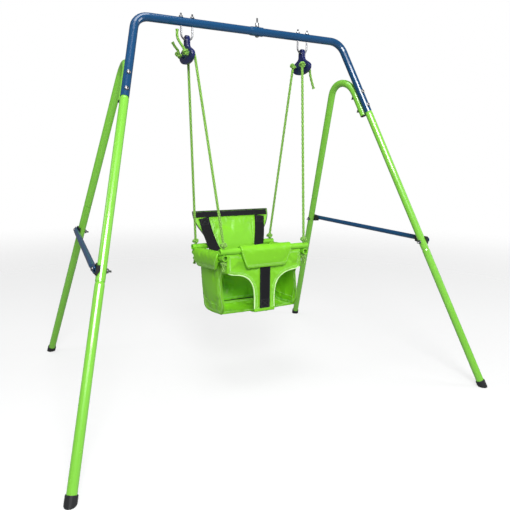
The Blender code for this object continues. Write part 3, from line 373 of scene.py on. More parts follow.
def toObject(name, build, material, smoothAngle=40):
    bmesh.ops.recalc_face_normals(build, faces=build.faces)
    mesh = bpy.data.meshes.new(name)
    build.to_mesh(mesh)
    build.free()
    mesh.shade_smooth()
    mesh.set_sharp_from_angle(angle=math.radians(smoothAngle))
    mesh.materials.append(material)
    piece = bpy.data.objects.new(name, mesh)
    scene.collection.objects.link(piece)
    return piece


def applied(piece):
    # its modifiers become part of the mesh
    bpy.context.view_layer.update()
    solid = bpy.data.meshes.new_from_object(piece.evaluated_get(bpy.context.evaluated_depsgraph_get()))
    piece.modifiers.clear()
    piece.data = solid
    solid.shade_smooth()
    return piece


def loft(build, rings):
    # skins rings of vertices and caps the ends
    for one, two in zip(rings, rings[1:]):
        for index in range(len(one)):
            after = (index + 1) % len(one)
            build.faces.new((one[index], one[after], two[after], two[index]))
    build.faces.new(rings[0][::-1])
    build.faces.new(rings[-1])


def directions(path):
    found = []
    for index in range(len(path)):
        before, after = path[max(index - 1, 0)], path[min(index + 1, len(path) - 1)]
        found.append((after - before).normalized())
    return found


def frames(path):
    # a steady pair of side directions along a path
    side = None
    found = []
    for along in directions(path):
        if side is None:
            side = along.cross(xAxis if abs(along.x) < 0.8 else yAxis)
        side = (side - along * side.dot(along)).normalized()
        found.append((side, along.cross(side)))
    return found


def curveThrough(points, step):
    # Catmull-Rom curve through the points, then cut to even steps
    padded = [points[0] * 2 - points[1]] + list(points) + [points[-1] * 2 - points[-2]]
    dense = [points[0]]
    for index in range(1, len(padded) - 2):
        before, start, end, after = padded[index - 1:index + 3]
        for piece in range(1, 25):
            t = piece / 24
            dense.append((start * 2 + (end - before) * t + (before * 2 - start * 5 + end * 4 - after) * t * t
                          + (start * 3 - before - end * 3 + after) * t * t * t) * 0.5)
    return evenly(dense, step)


def evenly(points, step):
    reach = [0.0]
    for one, two in zip(points, points[1:]):
        reach.append(reach[-1] + (two - one).length)
    count = max(2, round(reach[-1] / step))
    found, index = [], 0
    for number in range(count + 1):
        want = reach[-1] * number / count
        while index < len(points) - 2 and reach[index + 1] < want:
            index += 1
        span = max(reach[index + 1] - reach[index], 1e-9)
        found.append(points[index].lerp(points[index + 1], min(max((want - reach[index]) / span, 0), 1)))
    return found


def pathLength(points):
    return sum((two - one).length for one, two in zip(points, points[1:]))


def tube(build, path, radius, sides=12, taper=0):
    # a plain round tube; taper rounds off that many rings at each end
    rings = []
    last = len(path) - 1
    for index, (point, (side, up)) in enumerate(zip(path, frames(path))):
        size = radius
        if taper:
            near = min(index, last - index) / taper
            size = radius * math.sqrt(min(max(1 - (1 - near) ** 2, 0.04), 1)) if near < 1 else radius
        rings.append([build.verts.new(point + (side * math.cos(turn) + up * math.sin(turn)) * size)
                      for turn in (2 * math.pi * step / sides for step in range(sides))])
    loft(build, rings)


def turned(build, base, axis, profile, sides=32):
    # profile is (distance along the axis, radius); a third value gives the corners of a nut
    axis = axis.normalized()
    side = axis.cross(xAxis if abs(axis.x) < 0.8 else yAxis).normalized()
    up = axis.cross(side)
    rings = []
    for along, radius, *corners in profile:
        centre = base + axis * along
        ring = []
        for step in range(sides):
            turn = 2 * math.pi * step / sides
            reach = radius
            if corners:
                wedge = 2 * math.pi / corners[0]
                reach = radius * math.cos(wedge / 2) / math.cos((turn % wedge) - wedge / 2)
            ring.append(build.verts.new(centre + (side * math.cos(turn) + up * math.sin(turn)) * reach))
        rings.append(ring)
    loft(build, rings)


def finishPiece(piece, body, nodes=()):
    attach(piece, body)
    if nodes:
        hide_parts(*nodes)
    return piece


def addPiece(name, build, material, nodes=(), body="swing", angle=80):
    return finishPiece(toObject(name, build, materials[material], angle), body, nodes)


# the frame's tubes and small parts keep their solids and get their materials

def dressFrame():
    finish = {"bar_blue": "barBlue", "leg_green": "legGreen", "steel": "zinc", "black_plastic": "capBlack",
              "hanger_navy": "hangerNavy", "rope_lime": "rope", "seat_bar_green": "barGreen",
              "seat_vinyl": "vinyl", "webbing_black": "webbing", "buckle_black": "buckleBlack",
              "button_grey": "buttonGrey"}
    slotOf = {row["node"]: row["material_slot"] for row in frame["record"]["subparts"]}
    for node, thing in frame["nodes"].items():
        for place in thing.material_slots:
            place.material = materials[finish[slotOf[node]]]
    print("frame dressed:", len(slotOf), "nodes")


dressFrame()


# fasteners with rolled threads, chamfered nuts and washers

bolt = {"head": 0.0066, "dome": 0.0040, "shank": 0.0029, "nut": 0.0057, "nutHeight": 0.0047,
        "joinNut": 0.0120, "washer": 0.0074, "washerThick": 0.0009, "pitch": 0.0008, "chamfer": 0.0006}


def threadProfile(start, end, radius):
    # a rolled thread as a row of small ridges with a blunt tip
    rows = []
    along = start
    while along + bolt["pitch"] < end - 0.0008:
        rows += [(along, radius - 0.00028), (along + bolt["pitch"] / 2, radius)]
        along += bolt["pitch"]
    return rows + [(end - 0.0008, radius - 0.0002), (end, radius - 0.0009)]


def nutProfile(low, high, face, across, bore):
    # six sides between chamfered faces
    edge = bolt["chamfer"]
    return [(low, face), (low + edge, across, 6), (high - edge, across, 6), (high, face), (high, bore)]


def boltAxis(node):
    # a bolt's head end, direction, length and where its nut ends, read from its solid
    points = [vert.co.copy() for vert in frame["nodes"][node].data.vertices]
    centre = sum(points, Vector()) / len(points)
    one = max(points, key=lambda point: (point - centre).length)
    two = max(points, key=lambda point: (point - one).length)
    for _ in range(3):
        axis = (two - one).normalized()
        low = min((point - centre).dot(axis) for point in points)
        high = max((point - centre).dot(axis) for point in points)
        ends = []
        for level in (low, high):
            near = [point for point in points if abs((point - centre).dot(axis) - level) < 0.0006]
            ends.append(sum(near, Vector()) / len(near))
        one, two = ends
    length = (two - one).length
    axis = (two - one) / length
    wide = [point for point in points if (point - one - axis * (point - one).dot(axis)).length > 0.0050]
    first = min((point - one).dot(axis) for point in wide)
    last = max((point - one).dot(axis) for point in wide)
    if first > length - last:
        return two, -axis, length, length - first
    return one, axis, length, last


def addBolt(node, nutHeight):
    base, axis, length, nutEnd = boltAxis(node)
    seat, shank = bolt["dome"], bolt["shank"]
    nutAt = nutEnd - nutHeight
    nutLow = nutAt + bolt["washerThick"]
    dome = [(seat - seat * math.cos(turn), max(bolt["head"] * math.sin(turn), 0.0006))
            for turn in (math.pi / 2 * step / 7 for step in range(8))]
    build = bmesh.new()
    turned(build, base, axis, dome + [(seat, shank), (nutAt, shank)] + threadProfile(nutEnd, length, shank))
    turned(build, base, axis, [(nutAt, shank + 0.0002), (nutAt, bolt["washer"]), (nutLow, bolt["washer"]),
                               (nutLow, shank + 0.0002)])
    turned(build, base, axis, nutProfile(nutLow, nutEnd, bolt["nut"] * 0.88, bolt["nut"] * 1.04, shank), 48)
    addPiece(node + "_detail", build, "zinc", [node], "stand", 35)


def addBolts():
    names = sorted(node for node in frame["nodes"] if "_bolt" in node and not node.startswith("u_bolt"))
    for node in names:
        addBolt(node, bolt["joinNut"] if node.startswith("crossbar") else bolt["nutHeight"])
    print("bolts:", len(names))


addBolts()


# U-shaped rods over the crossbar

rod = {"radius": 0.0028, "bend": 0.0185, "nut": 0.0057, "nutFace": 0.0050, "nutTop": 0.0049, "washer": 0.0072,
       "washerThick": 0.0008, "sunk": 0.0017}


def addRod(side):
    node = "u_bolt_" + side
    low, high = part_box(node)
    centre = middle(node)
    radius, bend = rod["radius"], rod["bend"]
    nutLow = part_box("crossbar_left")[1][2] - rod["sunk"]
    turnZ = low[2] + radius + bend
    bottom = [Vector((centre.x - bend * math.cos(turn), centre.y, turnZ - bend * math.sin(turn)))
              for turn in (math.pi * step / 24 for step in range(25))]
    feet = [Vector((centre.x + hand * bend, centre.y, nutLow)) for hand in (-1, 1)]
    build = bmesh.new()
    tube(build, [feet[0] - zAxis * 0.004, *bottom, feet[1] - zAxis * 0.004], radius, 20)
    washerTop = rod["washerThick"]
    for foot in feet:
        thread = threadProfile(-0.002, high[2] - nutLow, radius)
        turned(build, foot, zAxis, [(-0.006, radius - 0.0001)] + thread, 24)
        turned(build, foot, zAxis, [(0.0, radius), (0.0, rod["washer"]), (washerTop, rod["washer"]),
                                    (washerTop, radius)], 32)
        nut = nutProfile(washerTop, rod["nutTop"], rod["nutFace"], rod["nut"] * 1.04, radius)
        turned(build, foot, zAxis, nut, 48)
    addPiece(node + "_detail", build, "zinc", [node], "stand", 35)


for side in ("left", "right"):
    addRod(side)
print("rods done")


# ropes

rope = {"radius": 0.0044, "sides": 32, "step": 0.0013, "plait": 0.0150, "around": 4, "ridge": 0.12,
        "knot": 0.0028, "knotHalf": 0.0105, "tightness": 1.25, "turnIn": 0.0090, "turnDown": 0.0140}
tails = {
    ("left", "front"): [(0.0175, -0.001, 0.012), (0.031, -0.001, 0.030), (0.0365, -0.001, 0.043),
                        (0.0365, -0.001, 0.063)],
    ("left", "back"): [(0.0120, 0.0, 0.012), (0.0225, 0.001, 0.025), (0.0305, 0.001, 0.037)],
    ("right", "front"): [(0.0105, 0.004, -0.012), (0.0180, 0.007, -0.038), (0.0330, 0.009, -0.075)],
    ("right", "back"): [(0.0100, 0.001, -0.004), (0.0180, 0.002, -0.016)],
}


def plaited(build, path, radius, frayed=False):
    # two sets of yarn ridges crossing round the cord; a frayed end flares a little
    layer = build.loops.layers.uv.new("UVMap")
    rings, spots = [], {}
    walked = 0.0
    last = len(path) - 1
    for index, (point, (side, up)) in enumerate(zip(path, frames(path))):
        if index:
            walked += (point - path[index - 1]).length
        size = radius
        if frayed:
            size *= 1 + 0.28 * max(0, 1 - (last - index) / 5)
        phase = 2 * math.pi * walked / rope["plait"]
        ring = []
        for step in range(rope["sides"]):
            turn = 2 * math.pi * step / rope["sides"]
            wound = rope["around"] * turn
            ridge = 0.4 - max(math.cos(wound + phase), math.cos(wound - phase))
            reach = size * (1 - rope["ridge"] * (1 - ridge) * 0.9 + 0.02)
            ring.append(build.verts.new(point + (side * math.cos(turn) + up * math.sin(turn)) * reach))
            spots[ring[-1]] = (step / rope["sides"], walked / rope["plait"])
        rings.append(ring)
    loft(build, rings)
    for face in build.faces:
        turns = [spots[corner.vert][0] for corner in face.loops]
        for corner in face.loops:
            around, along = spots[corner.vert]
            # the last column runs on past one turn instead of back to zero
            corner[layer].uv = (around + (1 if max(turns) - around > 0.5 else 0), along)


def knotPath(centre, axis, size, squash, twist):
    # the path of an overhand knot pulled tight, lying round the given axis
    side = axis.cross(xAxis if abs(axis.x) < 0.8 else yAxis).normalized()
    up = axis.cross(side)
    points = []
    for step in range(97):
        t = 2 * math.pi * step / 96
        a = math.sin(t) + 2 * math.sin(2 * t)
        b = math.cos(t) - 2 * math.cos(2 * t)
        c = -math.sin(3 * t) * squash
        a, b = a * math.cos(twist) - b * math.sin(twist), a * math.sin(twist) + b * math.cos(twist)
        points.append(centre + (side * a + up * b + axis * c) * size)
    return evenly(points, rope["step"])


def addRope(side, place, number):
    name = "rope_" + place + "_" + side
    sign = -1 if side == "left" else 1
    hand = -1 if place == "front" else 1
    bar, sideBar = middle(place + "_bar"), middle("side_bar_" + side)
    low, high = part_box("hanger_" + side)
    out = xAxis * sign
    face = (high[0] - low[0]) / 2
    hole = Vector((middle("hanger_" + side).x, hinge.y + hand * 0.029, hinge.z - 0.040))
    highKnot = hole - xAxis * (face + 0.0003 + rope["knotHalf"])
    seatKnot = Vector((sideBar.x, bar.y, bar.z + 0.0103 + rope["knotHalf"]))
    stopKnot = Vector((sideBar.x, bar.y, bar.z - 0.0203 - 0.0103 - 0.0084))
    tip = stopKnot + Vector((sign * 0.004, hand * 0.005, -0.022))
    # both hangers carry their knots on the left, so a left rope comes back through its hole
    start = [highKnot, seatKnot]
    if side == "left":
        turn = [highKnot, hole, hole - out * (face + rope["turnIn"] * 0.55) - zAxis * 0.0015,
                hole - out * (face + rope["turnIn"]) - zAxis * rope["turnDown"]]
        start = curveThrough(turn, 0.001) + [seatKnot]
    lowEnd = curveThrough([stopKnot, (stopKnot + tip) / 2 + out * 0.001, tip], rope["step"])
    path = evenly(start, rope["step"]) + evenly([seatKnot, stopKnot], rope["step"])[1:] + lowEnd[1:]
    build = bmesh.new()
    plaited(build, path, rope["radius"], frayed=True)
    strand = addPiece(name + "_strand", build, "rope", [name])
    along = (seatKnot - highKnot).normalized()
    for label, centre, axis, size in (("high", highKnot, (along - xAxis * 0.9).normalized(), rope["knot"]),
                                      ("seat", seatKnot, along, rope["knot"]),
                                      ("stop", stopKnot, zAxis, rope["knot"] * 0.80)):
        build = bmesh.new()
        plaited(build, knotPath(centre, axis, size, rope["tightness"], 1.1 * number), rope["radius"] * 0.98)
        addPiece(name + "_knot_" + label, build, "rope")
    route = [highKnot]
    if side == "right":
        route = [highKnot + out * 0.003, hole, hole + out * (face + 0.004)]
    route += [hole + out * (face + outward) + Vector((0, y, z)) for outward, y, z in tails[side, place]]
    build = bmesh.new()
    plaited(build, curveThrough(route, rope["step"]), rope["radius"] * 0.97, frayed=True)
    addPiece(name + "_end", build, "rope")
    points = evenly(start, 0.006) + evenly([seatKnot, stopKnot, tip], 0.01)[1:]
    round(pathLength(path), 3)


places = [(side, place) for side in ("left", "right") for place in ("front", "back")]
for number, (side, place) in enumerate(places):
    addRope(side, place, number)
print("ropes:", len(places))


# hangers: moulded plates with a raised rim round the eye and the rope holes

hangerPlan = {
    "outline": [(0.0, 0.0155), (0.0082, 0.0130), (0.0128, 0.0058), (0.0138, -0.004), (0.0140, -0.013),
                (0.020, -0.021), (0.034, -0.028), (0.048, -0.036), (0.0535, -0.044), (0.050, -0.054),
                (0.036, -0.0635), (0.018, -0.0685), (0.0, -0.070)],
    "eye": 0.0045, "hole": 0.0045, "round": 0.0022,
}


def addHanger(side):
    node = "hanger_" + side
    low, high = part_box(node)
    half = (high[0] - low[0]) / 2
    eye = Vector((middle(node).x, hinge.y, hinge.z))
    loop = curveThrough([Vector((0, y, z)) for y, z in hangerPlan["outline"]], 0.0035)
    loop += [Vector((0, -point.y, point.z)) for point in loop[-2:0:-1]]
    centre = Vector((0, 0, -0.030))
    soft = hangerPlan["round"]
    build = bmesh.new()
    rings = []
    for step in range(9):
        turn = math.pi * (step / 8 - 0.5)
        lean = math.sin(turn)
        level = math.copysign(half - soft + soft * abs(lean), lean) if abs(lean) > 0.01 else 0
        shrink = soft * (1 - math.cos(turn))
        rings.append([build.verts.new(eye + point + (centre - point).normalized() * shrink + xAxis * level)
                      for point in loop])
    loft(build, rings)
    plate = toObject(node + "_plate", build, materials["hangerNavy"], 50)
    holes = [(0.0, 0.0, hangerPlan["eye"])] + [(hand * 0.029, -0.040, hangerPlan["hole"]) for hand in (-1, 1)]
    for y, z, radius in holes:
        build = bmesh.new()
        turned(build, eye + Vector((-0.02, y, z)), xAxis, [(0, radius), (0.04, radius)], 40)
        tool = toObject("cutter", build, materials["hangerNavy"])
        cut = plate.modifiers.new("hole", "BOOLEAN")
        cut.solver = "EXACT"
        cut.object = tool
        applied(plate)
        bpy.data.objects.remove(tool, do_unlink=True)
    plate.data.set_sharp_from_angle(angle=math.radians(38))
    finishPiece(plate, "swing", [node])
    for index, (y, z, radius) in enumerate(holes):
        build = bmesh.new()
        for hand in (-1, 1):
            rim = [(-0.0006, radius), (0.0006, radius), (0.0010, radius + 0.0005), (0.0010, radius + 0.0020),
                   (-0.0006, radius + 0.0030)]
            turned(build, eye + Vector((hand * half, y, z)), xAxis * hand, rim, 40)
        addPiece(node + "_rim_" + str(index), build, "hangerNavy", angle=50)


for side in ("left", "right"):
    addHanger(side)
print("hangers done")


# cloth: even grids cut to an outline, settled by a short simulation, then given thickness

cloth = {"cell": 0.0055, "frames": 20, "thick": 0.0032, "slack": 0.030, "cap": 0.0050, "bending": 0.7,
         "voxel": 0.0030, "pressure": 4.0, "padCap": 0.0022}
sewing = {"stitch": 0.0034, "space": 0.0015, "thread": 0.00042, "inset": 0.0062, "rows": 0.0032,
          "binding": 0.0021, "seam": 0.0011, "piping": 0.0026}


def inside(point, loop):
    hit = False
    for one, two in zip(loop, loop[1:] + loop[:1]):
        if (one[1] > point[1]) != (two[1] > point[1]):
            if point[0] < one[0] + (two[0] - one[0]) * (point[1] - one[1]) / (two[1] - one[1]):
                hit = not hit
    return hit


def nearestOn(point, loop):
    best, gap = None, 1e9
    for one, two in zip(loop, loop[1:] + loop[:1]):
        span = two - one
        share = min(max((point - one).dot(span) / max(span.length_squared, 1e-12), 0), 1)
        place = one + span * share
        if (place - point).length < gap:
            best, gap = place, (place - point).length
    return best, gap


def corners(loop, least=32):
    found = []
    for before, here, after in zip(loop[-1:] + loop[:-1], loop, loop[1:] + loop[:1]):
        if (here - before).angle(after - here, 0) > math.radians(least):
            found.append(here)
    return found


def roundedLoop(loop, step=0.004):
    # the outline in even short steps, keeping its corners
    sharp = corners(loop)
    if not sharp:
        return evenly(loop + loop[:1], step)[:-1]
    start = loop.index(sharp[0])
    ordered = loop[start:] + loop[:start] + [loop[start]]
    found, run = [], [ordered[0]]
    for point in ordered[1:]:
        run.append(point)
        if point in sharp:
            found += (curveThrough(run, step) if len(run) > 2 else evenly(run, step))[:-1]
            run = [point]
    return found


def clothGrid(loop, cell):
    # quads that fill the outline; returns (u, v) places, faces and the edge's vertices
    low = [min(point[axis] for point in loop) for axis in (0, 1)]
    span = [max(point[axis] for point in loop) - low[axis] for axis in (0, 1)]
    count = [max(4, round(span[axis] / cell)) for axis in (0, 1)]
    size = [span[axis] / count[axis] for axis in (0, 1)]
    faces, number, uses = [], {}, {}
    for i in range(count[0]):
        for j in range(count[1]):
            if inside((low[0] + size[0] * (i + 0.5), low[1] + size[1] * (j + 0.5)), loop):
                square = [(i, j), (i + 1, j), (i + 1, j + 1), (i, j + 1)]
                faces.append([number.setdefault(key, len(number)) for key in square])
    for face in faces:
        for one, two in zip(face, face[1:] + face[:1]):
            uses[frozenset((one, two))] = uses.get(frozenset((one, two)), 0) + 1
    rim = {index for edge, times in uses.items() if times == 1 for index in edge}
    spots = [None] * len(number)
    for (i, j), index in number.items():
        spots[index] = Vector((low[0] + size[0] * i, low[1] + size[1] * j, 0))
    for index in rim:
        spots[index] = nearestOn(spots[index], loop)[0]
    for corner in corners(loop):
        spots[min(rim, key=lambda index: (spots[index] - corner).length)] = corner.copy()
    return spots, faces, rim


def settle(piece, held, slack, cap, seed, bending, pressure=0.0):
    # held vertices stay put; slack cloth ripples between them, pressure fills a closed piece
    mesh = piece.data
    start = [vert.co.copy() for vert in mesh.vertices]
    stay = set(held)
    for index, vert in enumerate(mesh.vertices):
        if index not in stay:
            vert.co = vert.co + vert.normal * noise.noise(vert.co * 60 + Vector((seed, 0, 0))) * 0.0009
    piece.vertex_groups.new(name="held").add(list(stay), 1, "REPLACE")
    modifier = piece.modifiers.new("cloth", "CLOTH")
    settings = modifier.settings
    settings.quality = 6
    settings.mass = 0.15
    settings.air_damping = 4
    settings.tension_stiffness = 25
    settings.compression_stiffness = 25
    settings.shear_stiffness = 12
    settings.bending_stiffness = bending
    settings.vertex_group_mass = "held"
    settings.shrink_min = -slack
    settings.shrink_max = -slack
    settings.use_pressure = pressure > 0
    settings.uniform_pressure_force = pressure
    settings.effector_weights.gravity = 0
    modifier.collision_settings.use_collision = False
    modifier.point_cache.frame_start = 1
    modifier.point_cache.frame_end = cloth["frames"]
    for number in range(1, cloth["frames"] + 1):
        scene.frame_set(number)
    moved = piece.evaluated_get(bpy.context.evaluated_depsgraph_get()).data
    ends = [vert.co.copy() for vert in moved.vertices]
    piece.modifiers.clear()
    scene.frame_set(1)
    for vert, one, two in zip(mesh.vertices, start, ends):
        shift = two - one
        if shift.length > cap * 0.5:
            # movement eases off towards the cap
            shift = shift.normalized() * cap * (1 - 0.5 * math.exp(1 - shift.length / (cap * 0.5)))
        vert.co = one + shift
    mesh.update()


def onSurface(tree, point, outward):
    place, normal, _, _ = tree.ray_cast(point + outward * 0.02, -outward)
    if place is None:
        place, normal, _, _ = tree.find_nearest(point)
    return place, normal if normal.dot(outward) > 0 else -normal


def surfaceOf(piece):
    build = bmesh.new()
    build.from_mesh(piece.data)
    tree = mathutils.bvhtree.BVHTree.FromBMesh(build)
    build.free()
    return tree


def stitches(build, points, tree, outward):
    # short raised threads in a row, each dipping into the cloth at both ends
    reach = pathLength(points)
    count = int(reach / (sewing["stitch"] + sewing["space"]))
    if count < 1:
        return
    even = evenly(points, reach / (count * 4))
    for number in range(count):
        spots = even[number * 4:number * 4 + 4]
        if len(spots) < 4:
            return
        run = []
        for index, spot in enumerate((spots[0], spots[0].lerp(spots[3], 0.5), spots[3])):
            place, normal = onSurface(tree, spot, outward)
            run.append(place + normal * (sewing["thread"] * (0.7 if index == 1 else -0.5)))
        tube(build, run, sewing["thread"], 6)


def inset(loop, distance):
    # runs of points the given distance inside the outline
    even = evenly(loop + loop[:1], 0.004)[:-1]
    runs, run = [], []
    for before, here, after in zip(even[-1:] + even[:-1], even, even[1:] + even[:1]):
        along = (after - before).normalized()
        place = here + Vector((-along.y, along.x, 0)) * distance
        if not inside(place, loop):
            place = here - Vector((-along.y, along.x, 0)) * distance
        if nearestOn(place, loop)[1] > distance * 0.93:
            run.append(place)
        elif run:
            runs.append(run)
            run = []
    if run:
        runs.append(run)
    return [run for run in runs if len(run) > 2]


def squareArea(one, two, three, four):
    return ((two - one).cross(three - one).length + (three - one).cross(four - one).length) / 2


def addPanel(name, node, outline, place, facing, seed, trim="binding", seams=(), pads=(), pipes=()):
    # a sewn panel: rippled cloth, bound edge, double stitching and raised seams
    loop = roundedLoop([Vector((u, v, 0)) for u, v in outline])
    spots, faces, rim = clothGrid(loop, cloth["cell"])
    points = [place(spot.x, spot.y) for spot in spots]
    mesh = bpy.data.meshes.new(name)
    mesh.from_pydata(points, [], faces)
    mesh.materials.append(materials["vinyl"])
    mesh.update()
    piece = bpy.data.objects.new(name, mesh)
    scene.collection.objects.link(piece)
    sewn = {index for index, spot in enumerate(spots) for lowU, lowV, highU, highV in pads
            if lowU < spot.x < highU and lowV < spot.y < highV}
    settle(piece, rim | sewn, cloth["slack"], cloth["cap"], seed, cloth["bending"])
    smooth = piece.modifiers.new("smooth", "SUBSURF")
    smooth.levels = smooth.render_levels = 1
    smooth.boundary_smooth = "PRESERVE_CORNERS"
    thick = piece.modifiers.new("thick", "SOLIDIFY")
    thick.thickness = cloth["thick"]
    thick.offset = 0
    applied(piece)
    tree = surfaceOf(piece)
    finishPiece(piece, "swing", [node])

    def addTube(label, path, radius, material, sides=12, taper=0):
        build = bmesh.new()
        tube(build, path, radius, sides, taper)
        addPiece(name + label, build, material)

    edge = evenly(loop + loop[:1], 0.003)
    addTube("_edge", [place(point.x, point.y) for point in edge], sewing["binding"], trim)
    for pipe in pipes:
        run = curveThrough([place(u, v) - facing * 0.0002 for u, v in pipe], 0.0025)
        addTube("_piping", run, sewing["piping"], "piping", taper=2)
    rows = [run for distance in (sewing["inset"], sewing["inset"] + sewing["rows"])
            for run in inset(loop, distance)]
    for seam in seams:
        run = evenly([Vector((u, v, 0)) for u, v in seam], 0.004)
        rows.append([point + Vector((0.0028, 0.0012, 0)) for point in run])
        for face in (facing, -facing):
            ridge = [onSurface(tree, place(point.x, point.y), face)[0] for point in run]
            addTube("_seam", ridge, sewing["seam"], "vinyl", 8)
    build = bmesh.new()
    for row in rows:
        path = [place(point.x, point.y) for point in row]
        for face in (facing, -facing):
            stitches(build, path, tree, face)
    addPiece(name + "_stitching", build, "thread")
    area = sum(squareArea(*(points[index] for index in face)) for face in faces)
    low, high = [limit(point.y for point in loop) for limit in (min, max)]
    cuts = [place(0, low + (high - low) * step / 20) for step in range(21)]
    length = pathLength(cuts)
    print("panel:", name)


# seat shape, in the same places as the bars it hangs on

seat = {
    "clothHalf": 0.002, "backLean": 0.33, "backLeanLow": 0.21, "backGap": 0.0143, "baseDrop": 0.211,
    "backRise": 0.102, "legHalf": 0.037, "sideX": 0.1395, "coverUnder": 0.0148,
    "baseProfile": [(0.0, 0.0), (0.10, -0.003), (0.22, -0.005), (0.36, -0.008), (0.64, -0.014),
                    (0.86, -0.015), (0.95, -0.011), (1.0, -0.005)],
    "backHalf": [(0.0, 0.150), (0.024, 0.148), (0.049, 0.138), (0.074, 0.122), (0.099, 0.109), (0.120, 0.104),
                 (0.164, 0.105), (0.204, 0.115), (0.244, 0.128), (0.280, 0.134)],
    "legOpening": [(0.016, 0.0725), (0.029, 0.079), (0.037, 0.098), (0.029, 0.143), (0.020, 0.172),
                   (0.018, 0.190)],
    "frontEdge": [(0.136, 0.0700), (0.120, 0.0765), (0.084, 0.083), (0.057, 0.099), (0.042, 0.125),
                  (0.037, 0.159)],
}
frontBar, backBar = middle("front_bar"), middle("back_bar")
barRadius = 0.010


def backY(z):
    rise = z - backBar.z
    rest = backBar.y - seat["backGap"] * math.hypot(1, seat["backLean"])
    return rest + rise * (seat["backLean"] if rise > 0 else seat["backLeanLow"])


def baseLine():
    front = frontBar.y - seat["clothHalf"]
    bottom = frontBar.z - seat["baseDrop"]
    back = backY(bottom - 0.001) + 0.004
    return [(front + (back - front) * share, bottom + rise) for share, rise in seat["baseProfile"]]


def baseZ(y):
    line = baseLine()
    for one, two in zip(line, line[1:]):
        if y <= two[0]:
            break
    share = min(max((y - one[0]) / (two[0] - one[0]), 0), 1)
    return one[1] + (two[1] - one[1]) * share


def sideBarZ(y):
    slope = (backBar.z - frontBar.z) / (backBar.y - frontBar.y)
    return frontBar.z - 0.0203 + slope * (y - frontBar.y)


def mirrored(points):
    return points + [(-u, v) for u, v in points[::-1]]


def bulge(y, z):
    # panels belly out gently between their edges
    along = min(max((y - frontBar.y) / 0.21, 0), 1)
    down = min(max((frontBar.z - 0.035 - z) / 0.17, 0), 1)
    return math.sin(along * math.pi) * math.sin(down * math.pi)


def frontPlace(x, z):
    down = min(max((frontBar.z - z) / 0.21, 0), 1)
    return Vector((x, frontBar.y + 0.004 * math.sin(down * math.pi) * 0.25, z))


def addSeatPanels():
    top = frontBar.z
    bottom = top - seat["baseDrop"]
    edge = [(half, top - drop) for half, drop in seat["frontEdge"]]
    front = [(0.095, top - 0.0150), (0.100, top - 0.0118), (0.136, top - 0.0118), *edge,
             (seat["legHalf"], bottom + 0.0045)]
    hands = (-1, 1)
    addPanel("frontPanel", "front_panel", mirrored(front), frontPlace, -yAxis, 1, trim="vinyl",
             pipes=[[(hand * half, z) for half, z in edge] + [(hand * seat["legHalf"], bottom + 0.008)]
                    for hand in hands],
             seams=[[(hand * 0.131, top - 0.016), (hand * 0.131, top - 0.072)] for hand in hands]
             + [[(hand * 0.030, top - 0.150), (hand * 0.032, bottom + 0.010)] for hand in hands],
             pads=[(-0.021, bottom, 0.021, top - 0.05)])
    line = baseLine()
    corner = frontBar.y + 0.0006
    rear = backY(backBar.z - 0.02) - 0.0005
    edge = [(corner, sideBarZ(corner) - seat["coverUnder"]), (corner, top - 0.0705)]
    edge += [(frontBar.y + run, top - drop) for run, drop in seat["legOpening"]]
    edge += [(y, z + 0.001) for y, z in line[2:]] + [(rear, sideBarZ(rear) - seat["coverUnder"])]
    seams = [[(frontBar.y + 0.050, top - 0.050), (frontBar.y + 0.046, top - 0.150),
              (frontBar.y + 0.040, top - 0.205)],
             [(frontBar.y + 0.048, top - 0.192), (frontBar.y + 0.130, top - 0.196),
              (rear - 0.014, top - 0.186)]]
    for side, sign in bothSides:
        addPanel("sidePanel_" + side, "side_panel_" + side, edge,
                 lambda y, z: Vector((sign * (seat["sideX"] + 0.0045 * bulge(y, z)), y, z)),
                 xAxis * sign, 3 + sign, seams=seams)
    widest = seat["sideX"] - 0.0025
    half, start, wide, end = seat["legHalf"], line[0][0] + 0.0005, line[2][0], line[-1][0]
    base = [(half, start), (half, wide - 0.006), (widest, wide), (widest, end), (0.0, end)]
    addPanel("seatBase", "seat_base", mirrored(base),
             lambda x, y: Vector((x, y, baseZ(y) + 0.002)), zAxis, 9,
             seams=[[(hand * 0.092, wide + 0.014), (hand * 0.092, end - 0.012)] for hand in hands])
    backTop = top + seat["backRise"]
    back = [(half, backTop - drop) for drop, half in seat["backHalf"]]
    back += [(back[-1][0], bottom - 0.0007), (0.0, bottom - 0.0007)]
    addPanel("backPanel", "back_panel", mirrored(back),
             lambda x, z: Vector((x, backY(z) + 0.0022, z)), Vector((0, -1, 0.33)).normalized(), 13,
             trim="darkBinding", pads=[(-0.146, backTop - 0.023, 0.146, backTop)],
             seams=[[(hand * 0.078, backTop - 0.030), (hand * 0.070, backTop - 0.120),
                     (hand * 0.084, backTop - 0.262)] for hand in hands])


addSeatPanels()


# padded covers bent over the bars

covers = {"under": 0.0145, "belly": 0.024, "hem": 0.0135, "flapInner": 0.0055, "curve": 1.15, "edge": 0.006,
          "stuck": 0.0022, "bending": 2.5, "slack": 0.004}


